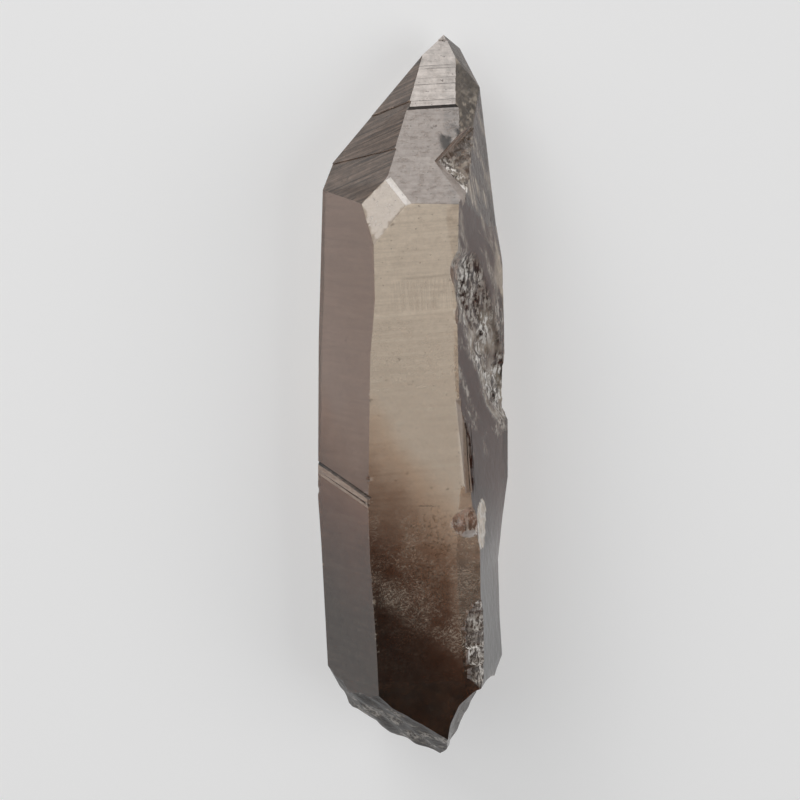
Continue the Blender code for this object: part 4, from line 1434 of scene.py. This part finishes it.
@dataclass(frozen=True)
class QuartzFinish:
    """Clear brown quartz with growth lines, etch marks, hackle and a milky bloom that is partly
    painted light.

    smoke and smoke_density are the colour and strength of its absorption per metre, the heights
    are in millimetres, deep is the colour let through from the root upwards, between the places
    along Y in deep_span, and wisp_turn the way in which the wisps run. Its deep brown near the
    root, reaching higher on the left, is partly the stone's smoky colour and partly painted shade.
    drift is how far clouds shift those colours, lean how far they climb per millimetre along X and
    lean_from where that begins. The shares are the most that a mark hides, and patchy, combed and
    streaked are how far patches, comb lines and streaks change the haze_and_light.
    """

    ior: float = 1.544
    smoke: Triple = (0.51, 0.34, 0.135)
    smoke_density: float = 11.0
    line_height: float = 0.020
    band_height: float = 0.05
    pit_height: float = 0.06
    hackle_height: float = 0.16
    streak_depth: float = 0.5
    wisp_share: float = 0.41
    wisp_turn: float = math.radians(38.0)
    speck_depth: float = 0.6
    nick_share: float = 0.32
    milk_polish: float = 0.4
    cloudy_polish: float = 0.10
    least_polish: float = 0.02
    terrace: float = 0.07
    wisp_bend: float = 9.0
    patchy: Pair = (0.55, 1.10)
    combed: Pair = (-0.45, 0.25)
    streaked: Pair = (-1.0, 1.0)
    deep_span: Pair = (-38.0, 0.0)
    drift: float = 14.0
    lean: float = 1.1
    lean_from: float = -7.5
    glint_and_splinter_colour: Triple = (0.88, 0.84, 0.80)
    deep: tuple[tuple[float, Triple], ...] = (
        (0.0, (0.030, 0.009, 0.003)), (0.34, (0.14, 0.06, 0.033)), (0.62, (0.35, 0.22, 0.16)),
        (0.85, (0.80, 0.66, 0.56)), (1.0, (0.97, 0.95, 0.93)))

    def build(self) -> bpy.types.Material:
        """Builds the material: clear quartz and milk, partly painted light, mixed by place, around
        brown absorption.

        Returns:
            The material.
        """
        material, bench = new_material("smoky_quartz_finish")
        bump = bench.add("ShaderNodeBump", {
            "Distance": MM, "Strength": 1.0, "Height": self.relief(bench)})
        polish = bench.maths("SUBTRACT", bench.attribute("polish"), 0.5 * self.cloudy_polish)
        rough = bench.maths("MULTIPLY_ADD", bench.noise(bench.place, 0.35, 4.0),
                            self.cloudy_polish, polish)
        clear = bench.add("ShaderNodeBsdfPrincipled", {
            "Transmission Weight": 1.0, "IOR": self.ior,
            "Base Color": self.tint(bench),
            "Roughness": bench.maths("MAXIMUM", rough, self.least_polish),
            "Normal": bump.outputs["Normal"]})
        chips_and_glints = self.chips_and_glints(bench)
        milky = bench.add("ShaderNodeBsdfPrincipled", {
            "Base Color": bench.blend(
                chips_and_glints, bench.attribute("bloom", "Color"), (*self.glint_and_splinter_colour, 1.0)),
            "Roughness": self.milk_polish, "IOR": self.ior, "Normal": bump.outputs["Normal"]})
        smoke = bench.add("ShaderNodeVolumeAbsorption", {
            "Color": (*self.smoke, 1.0), "Density": self.smoke_density})
        share = self.milk_and_light(bench, chips_and_glints)
        bench.finish(Surface=bench.mix(share, clear.outputs[0], milky.outputs[0]),
                     Volume=smoke.outputs[0])
        return material

    def milk_and_light(self, bench: NodeBench, chips_and_glints: Socket) -> Socket:
        """How much of the surface is pale: milk, painted light and painted glints.

        Args:
            bench: The material's bench.
            chips_and_glints: Share of pale splinters and painted glints.

        Returns:
            The share: patchy, streaked and combed haze_and_light, wisps, splinters and glints, worn
                nicks.
        """
        patch = bench.span(bench.noise(bench.place, 0.6, 5.0, 0.65), 0.3, 0.7, *self.patchy)
        streak = bench.product(bench.span(self.streaks(bench), 0.36, 0.64, *self.streaked),
                               bench.maths("MINIMUM", bench.attribute("lines"), 1.0))
        teeth = bench.noise(bench.stretch(bench.growth, (2.1, 0.10, 1.0)), 1.0)
        comb = bench.product(bench.span(teeth, 0.38, 0.62, *self.combed), bench.attribute("comb"))
        banded = bench.maths("ADD", streak, bench.maths("ADD", comb, 1.0))
        share = bench.product(bench.attribute("haze_and_light"), patch, banded)
        share = bench.maths("ADD", share, self.wisps(bench))
        nicks = bench.product(bench.span(bench.noise(bench.place, 0.8, 4.0, 0.7), 0.54, 0.66),
                              bench.span(bench.attribute("edge"), 0.45, 0.95, 0.0, self.nick_share))
        share = bench.maths("MAXIMUM", bench.maths("MAXIMUM", share, chips_and_glints), nicks)
        return bench.product(share, self.clean(bench))

    def chips_and_glints(self, bench: NodeBench) -> Socket:
        """Share of pale splinters and painted glints: fine grains in coarse patches where it is
        splintered.

        Args:
            bench: The material's bench.

        Returns:
            The share.
        """
        grains = bench.noise(bench.stretch(bench.place, (1.7, 0.6, 1.7)), 1.0, 5.0, 0.65)
        sparse = bench.span(bench.noise(bench.place, 0.7, 3.0, 0.6), 0.34, 0.50, 0.25, 1.0)
        return bench.product(bench.span(grains, 0.45, 0.55), sparse, bench.attribute("splinter_and_glint"))

    def wisps(self, bench: NodeBench) -> Socket:
        """Share of wisps: fine fibres, bent by a slow noise, in drifting clouds.

        Args:
            bench: The material's bench.

        Returns:
            The share.
        """
        clouds = bench.span(bench.noise(bench.place, 0.26, 5.0, 0.65), 0.36, 0.60, 0.15, 1.0)
        warp = bench.product(bench.noise(bench.place, 0.25, 2.0), self.wisp_bend)
        bent = bench.add("ShaderNodeVectorMath", {0: bench.place, 1: warp}, operation="ADD")
        fibre = bench.add("ShaderNodeMapping", {
            "Vector": bent.outputs[0], "Rotation": (0.0, 0.0, self.wisp_turn),
            "Scale": (0.45, 1.15, 1.0)})
        specks = bench.span(bench.noise(fibre.outputs[0], 3.1, 4.0, 0.7), 0.49, 0.64, 0.15, 1.0)
        return bench.product(bench.product(specks, clouds),
                             bench.product(bench.attribute("wisp"), self.wisp_share))

    def clean(self, bench: NodeBench) -> Socket:
        """1 on clean quartz, less on rare dark specks a few tenths of a millimetre wide."""
        specks = bench.noise(bench.place, 1.5, 1.0)
        return bench.span(specks, 0.71, 0.77, 1.0, 1.0 - self.speck_depth)

    def streaks(self, bench: NodeBench) -> Socket:
        """Noise drawn out along the growth lines."""
        return bench.noise(bench.stretch(bench.growth, (0.05, 1.35, 1.0)), 1.0, 5.0, 0.68)

    def tint(self, bench: NodeBench) -> Socket:
        """Colour let through: clear above, deep brown near the root, partly smoky colour and partly
        painted shade, streaked along growth lines and multiplied by the tone, mostly painted shade.

        Args:
            bench: The material's bench.

        Returns:
            The colour.
        """
        split = bench.add("ShaderNodeSeparateXYZ", {0: bench.place}).outputs
        drift = bench.noise(bench.stretch(bench.place, (1.0, 0.5, 1.0)), 0.12, 2.0)
        drift = bench.product(drift, self.drift)
        lean = bench.product(bench.maths("MAXIMUM", split["X"], self.lean_from), self.lean)
        y = bench.maths("ADD", bench.maths("ADD", split["Y"], drift), lean)
        streak = bench.span(self.streaks(bench), 0.35, 0.65, 1.0, -1.0)
        shade = bench.product(streak, self.streak_depth, bench.attribute("lines"))
        dark = bench.add("ShaderNodeHueSaturation", {
            "Value": bench.product(bench.maths("SUBTRACT", 1.0, shade), self.clean(bench)),
            "Color": bench.ramp(bench.span(y, *self.deep_span), self.deep)})
        return bench.blend(1.0, dark.outputs[0], bench.attribute("tone", "Color"), "MULTIPLY")

    def relief(self, bench: NodeBench) -> Socket:
        """Height in millimetres: growth lines and terraces, etch pits and hackle, by attribute.

        Args:
            bench: The material's bench.

        Returns:
            The height.
        """
        fine = bench.noise(bench.stretch(bench.growth, (0.05, 2.4, 1.0)), 1.0, 4.0, 0.6)
        broad = bench.noise(bench.stretch(bench.growth, (0.05, 0.55, 1.0)), 1.0, 3.0, 0.5)
        lines = bench.product(fine, self.line_height)
        bands = bench.product(bench.maths("SNAP", broad, self.terrace), self.band_height)
        growth_height = bench.product(bench.maths("ADD", lines, bands), bench.attribute("lines"))
        pit = bench.noise(bench.stretch(bench.growth, (0.7, 1.1, 1.0)), 1.0, 3.0, 0.6)
        pits = bench.product(bench.span(pit, 0.30, 0.46), self.pit_height, bench.attribute("pits"))
        hackles = bench.product(
            bench.noise(bench.place, 0.9, 4.0, 0.6), self.hackle_height, bench.attribute("hackle"))
        return bench.maths("ADD", bench.maths("ADD", growth_height, pits), hackles)


@dataclass(frozen=True)
class VeilFinish:
    """A veil that is clear but for patches.

    grain is the scale of its specks per millimetre and low and high the noise between which they
    fill in, cloud the scale of their drifts, strength the most that a patch hides and through how
    much of a patch's light shines through it.
    """

    name: str
    colour: Triple
    grain: float
    low: float
    high: float
    cloud: float
    strength: float
    polish: float = 0.4
    through: float = 0.75

    def build(self) -> bpy.types.Material:
        """Builds the material: a clear sheet and a half-translucent body, mixed by its patches.

        Returns:
            The material.
        """
        material, bench = new_material(self.name)
        colour = (*self.colour, 1.0)
        speck = bench.span(bench.noise(bench.place, self.grain, 3.0, 0.6), self.low, self.high)
        drift = bench.span(bench.noise(bench.place, self.cloud, 3.0, 0.6), 0.38, 0.62)
        share = bench.product(speck, drift, self.strength, bench.attribute("fade"))
        body = bench.add("ShaderNodeBsdfPrincipled", {
            "Base Color": colour, "Roughness": self.polish}).outputs[0]
        lit = bench.add("ShaderNodeBsdfTranslucent", {"Color": colour}).outputs[0]
        clear = bench.add("ShaderNodeBsdfTransparent").outputs[0]
        bench.finish(Surface=bench.mix(share, clear, bench.mix(self.through, body, lit)))
        return material


VEIL_FINISHES: dict[str, VeilFinish] = {
    "specks": VeilFinish("speck_finish", (0.95, 0.88, 0.80), 1.7, 0.52, 0.62, 0.16, 0.95),
    # Pale patches: the crack's painted reflection.
    "crack": VeilFinish("crack_reflection_finish", (0.80, 0.76, 0.70), 0.8, 0.20, 0.50, 0.9, 0.75, 0.15),
    # Near-black patches for the two sheets of painted shade.
    "edge_shade": VeilFinish("edge_shade_finish", (0.035, 0.022, 0.016), 0.7, 0.10, 0.45, 0.3, 1.4, 0.3),
}


@dataclass(frozen=True)
class TableFinish:
    """The pale matt table, which glows faintly."""

    colour: Triple = (0.60, 0.60, 0.60)
    glow: float = 0.36
    polish: float = 0.75

    def build(self) -> bpy.types.Material:
        """Builds the material: one pale tone with a faint cloudiness.

        Returns:
            The material.
        """
        material, bench = new_material("pale_table_finish")
        cloud = bench.noise(bench.add("ShaderNodeTexCoord").outputs["Object"], 3.0, 2.0)
        darker = tuple(0.99 * part for part in self.colour)
        paint = bench.add("ShaderNodeBsdfPrincipled", {
            "Base Color": bench.ramp(cloud, ((0.3, darker), (0.7, self.colour))),
            "Roughness": self.polish, "Emission Color": (1.0, 1.0, 1.0, 1.0),
            "Emission Strength": self.glow})
        bench.finish(Surface=paint.outputs[0])
        return material


# ---- The studio


@dataclass(frozen=True)
class SoftBox:
    """A square light: where it stands, its size, its power in watts and what it faces."""

    name: str
    place: Triple
    size: Pair
    power: float
    target: Triple = (0.0, 0.0, 0.0)

    def build(self) -> bpy.types.Object:
        """Builds the light, turned to face its target.

        Returns:
            The light.
        """
        lamp = bpy.data.lights.new(self.name, "AREA")
        lamp.shape, lamp.energy = "RECTANGLE", self.power
        lamp.size, lamp.size_y = self.size
        back = unit(np.subtract(self.place, self.target))
        side = unit(np.cross((0.0, 0.0, 1.0), back))
        turn = np.stack((side, np.cross(back, side), back), axis=-1)
        made = put_in_scene(self.name, lamp)
        made.matrix_world = Matrix.Translation(self.place) @ Matrix(turn.tolist()).to_4x4()
        return made


def turned(axis: int, angle: float) -> Array:
    """The turn about an axis.

    Args:
        axis: 0 for X, 1 for Y, 2 for Z.
        angle: How far, in radians.

    Returns:
        The 3 x 3 matrix.
    """
    first, second = (axis + 1) % 3, (axis + 2) % 3
    turn = np.eye(3)
    turn[first, first] = turn[second, second] = math.cos(angle)
    turn[first, second], turn[second, first] = -math.sin(angle), math.sin(angle)
    return turn


@dataclass(frozen=True)
class Studio:
    """Table, soft lights, surroundings and camera.

    table_size is in metres and table_drop in millimetres, camera_place in millimetres in the
    crystal's frame, room the surroundings' colour from the horizon up, and boxes holds two high
    side lights and two low ones beyond the point, which its faces reflect.
    """

    table_size: float = 3.0
    table_drop: float = 0.05
    table_lines: int = 13
    camera_place: Triple = (-31.99, 51.07, 440.26)
    lens: float = 112.23
    sensor: float = 36.0
    pitch: float = math.radians(7.0)
    yaw: float = math.radians(4.0)
    roll: float = math.radians(1.2)
    bounces: int = 16
    room: tuple[tuple[float, Triple], ...] = (
        (0.0, (0.22, 0.22, 0.22)), (0.35, (0.16, 0.16, 0.16)), (0.9, (0.05, 0.05, 0.05)))
    boxes: tuple[SoftBox, ...] = (
        SoftBox("left_light", (-0.75, 0.05, 0.85), (0.8, 0.9), 2.5),
        SoftBox("right_light", (0.75, -0.10, 0.85), (0.8, 0.9), 3.7),
        SoftBox("point_light", (0.04, 1.20, 0.33), (1.0, 0.50), 3.2, (0.0, 0.04, 0.02)),
        SoftBox("corner_light", (-0.66, 0.90, 0.58), (0.70, 0.60), 6.4, (0.0, 0.04, 0.02)))

    def table(self, material: bpy.types.Material) -> bpy.types.Object:
        """The table: a flat grid just under the crystal, z = -drop.

        Args:
            material: Its finish.

        Returns:
            The table.
        """
        line = np.linspace(-0.5, 0.5, self.table_lines) * self.table_size
        x, y = np.meshgrid(line, line)
        points = np.stack((x, y, np.full(x.shape, -self.table_drop * MM)), axis=-1).reshape(-1, 3)
        mesh = bpy.data.meshes.new("pale_table")
        mesh.from_pydata(
            points.tolist(), [], grid_faces(self.table_lines, self.table_lines).tolist())
        mesh.materials.append(material)
        made = put_in_scene("pale_table", mesh)
        return made

    def surroundings(self) -> None:
        """A soft room: paler near the horizon, darker overhead."""
        world = bpy.data.worlds.new("soft_room")
        bpy.context.scene.world = world
        world.use_nodes = True
        world.node_tree.nodes.clear()
        bench = NodeBench(world.node_tree)
        way = bench.add("ShaderNodeTexCoord").outputs["Generated"]
        height = bench.add("ShaderNodeSeparateXYZ", {0: way}).outputs["Z"]
        room = bench.add("ShaderNodeBackground", {
            "Color": bench.ramp(height, self.room), "Strength": 1.0})
        bench.add("ShaderNodeOutputWorld", {"Surface": room.outputs[0]})

    def camera(self) -> bpy.types.Object:
        """The camera, whose turn is roll after pitch after yaw about the crystal's frame.

        Returns:
            The camera.
        """
        lens = bpy.data.cameras.new("camera")
        lens.lens, lens.sensor_width = self.lens, self.sensor
        lens.clip_start, lens.clip_end = 0.01, 20.0
        turn = turned(2, -self.roll) @ turned(0, self.pitch) @ turned(1, self.yaw)
        place = (np.array(self.camera_place) - MIDDLE) * MM
        made = put_in_scene("camera", lens)
        made.matrix_world = Matrix.Translation(place.tolist()) @ Matrix(turn.T.tolist()).to_4x4()
        bpy.context.scene.camera = made
        return made

    def build(self) -> None:
        """Builds the whole studio."""
        self.table(TableFinish().build())
        for box in self.boxes:
            box.build()
        self.surroundings()
        self.camera()
        scene = bpy.context.scene
        scene.view_settings.view_transform = "Standard"
        scene.cycles.max_bounces = self.bounces
        scene.cycles.transmission_bounces = self.bounces


def main() -> None:
    """Builds the crystal and its studio, in order."""
    logging.basicConfig(level=logging.INFO, format="%(name)s: %(message)s")
    QuartzCrystal().build(QuartzFinish().build())
    Inclusions().build()
    Studio().build()


if __name__ == "__main__":
    main()
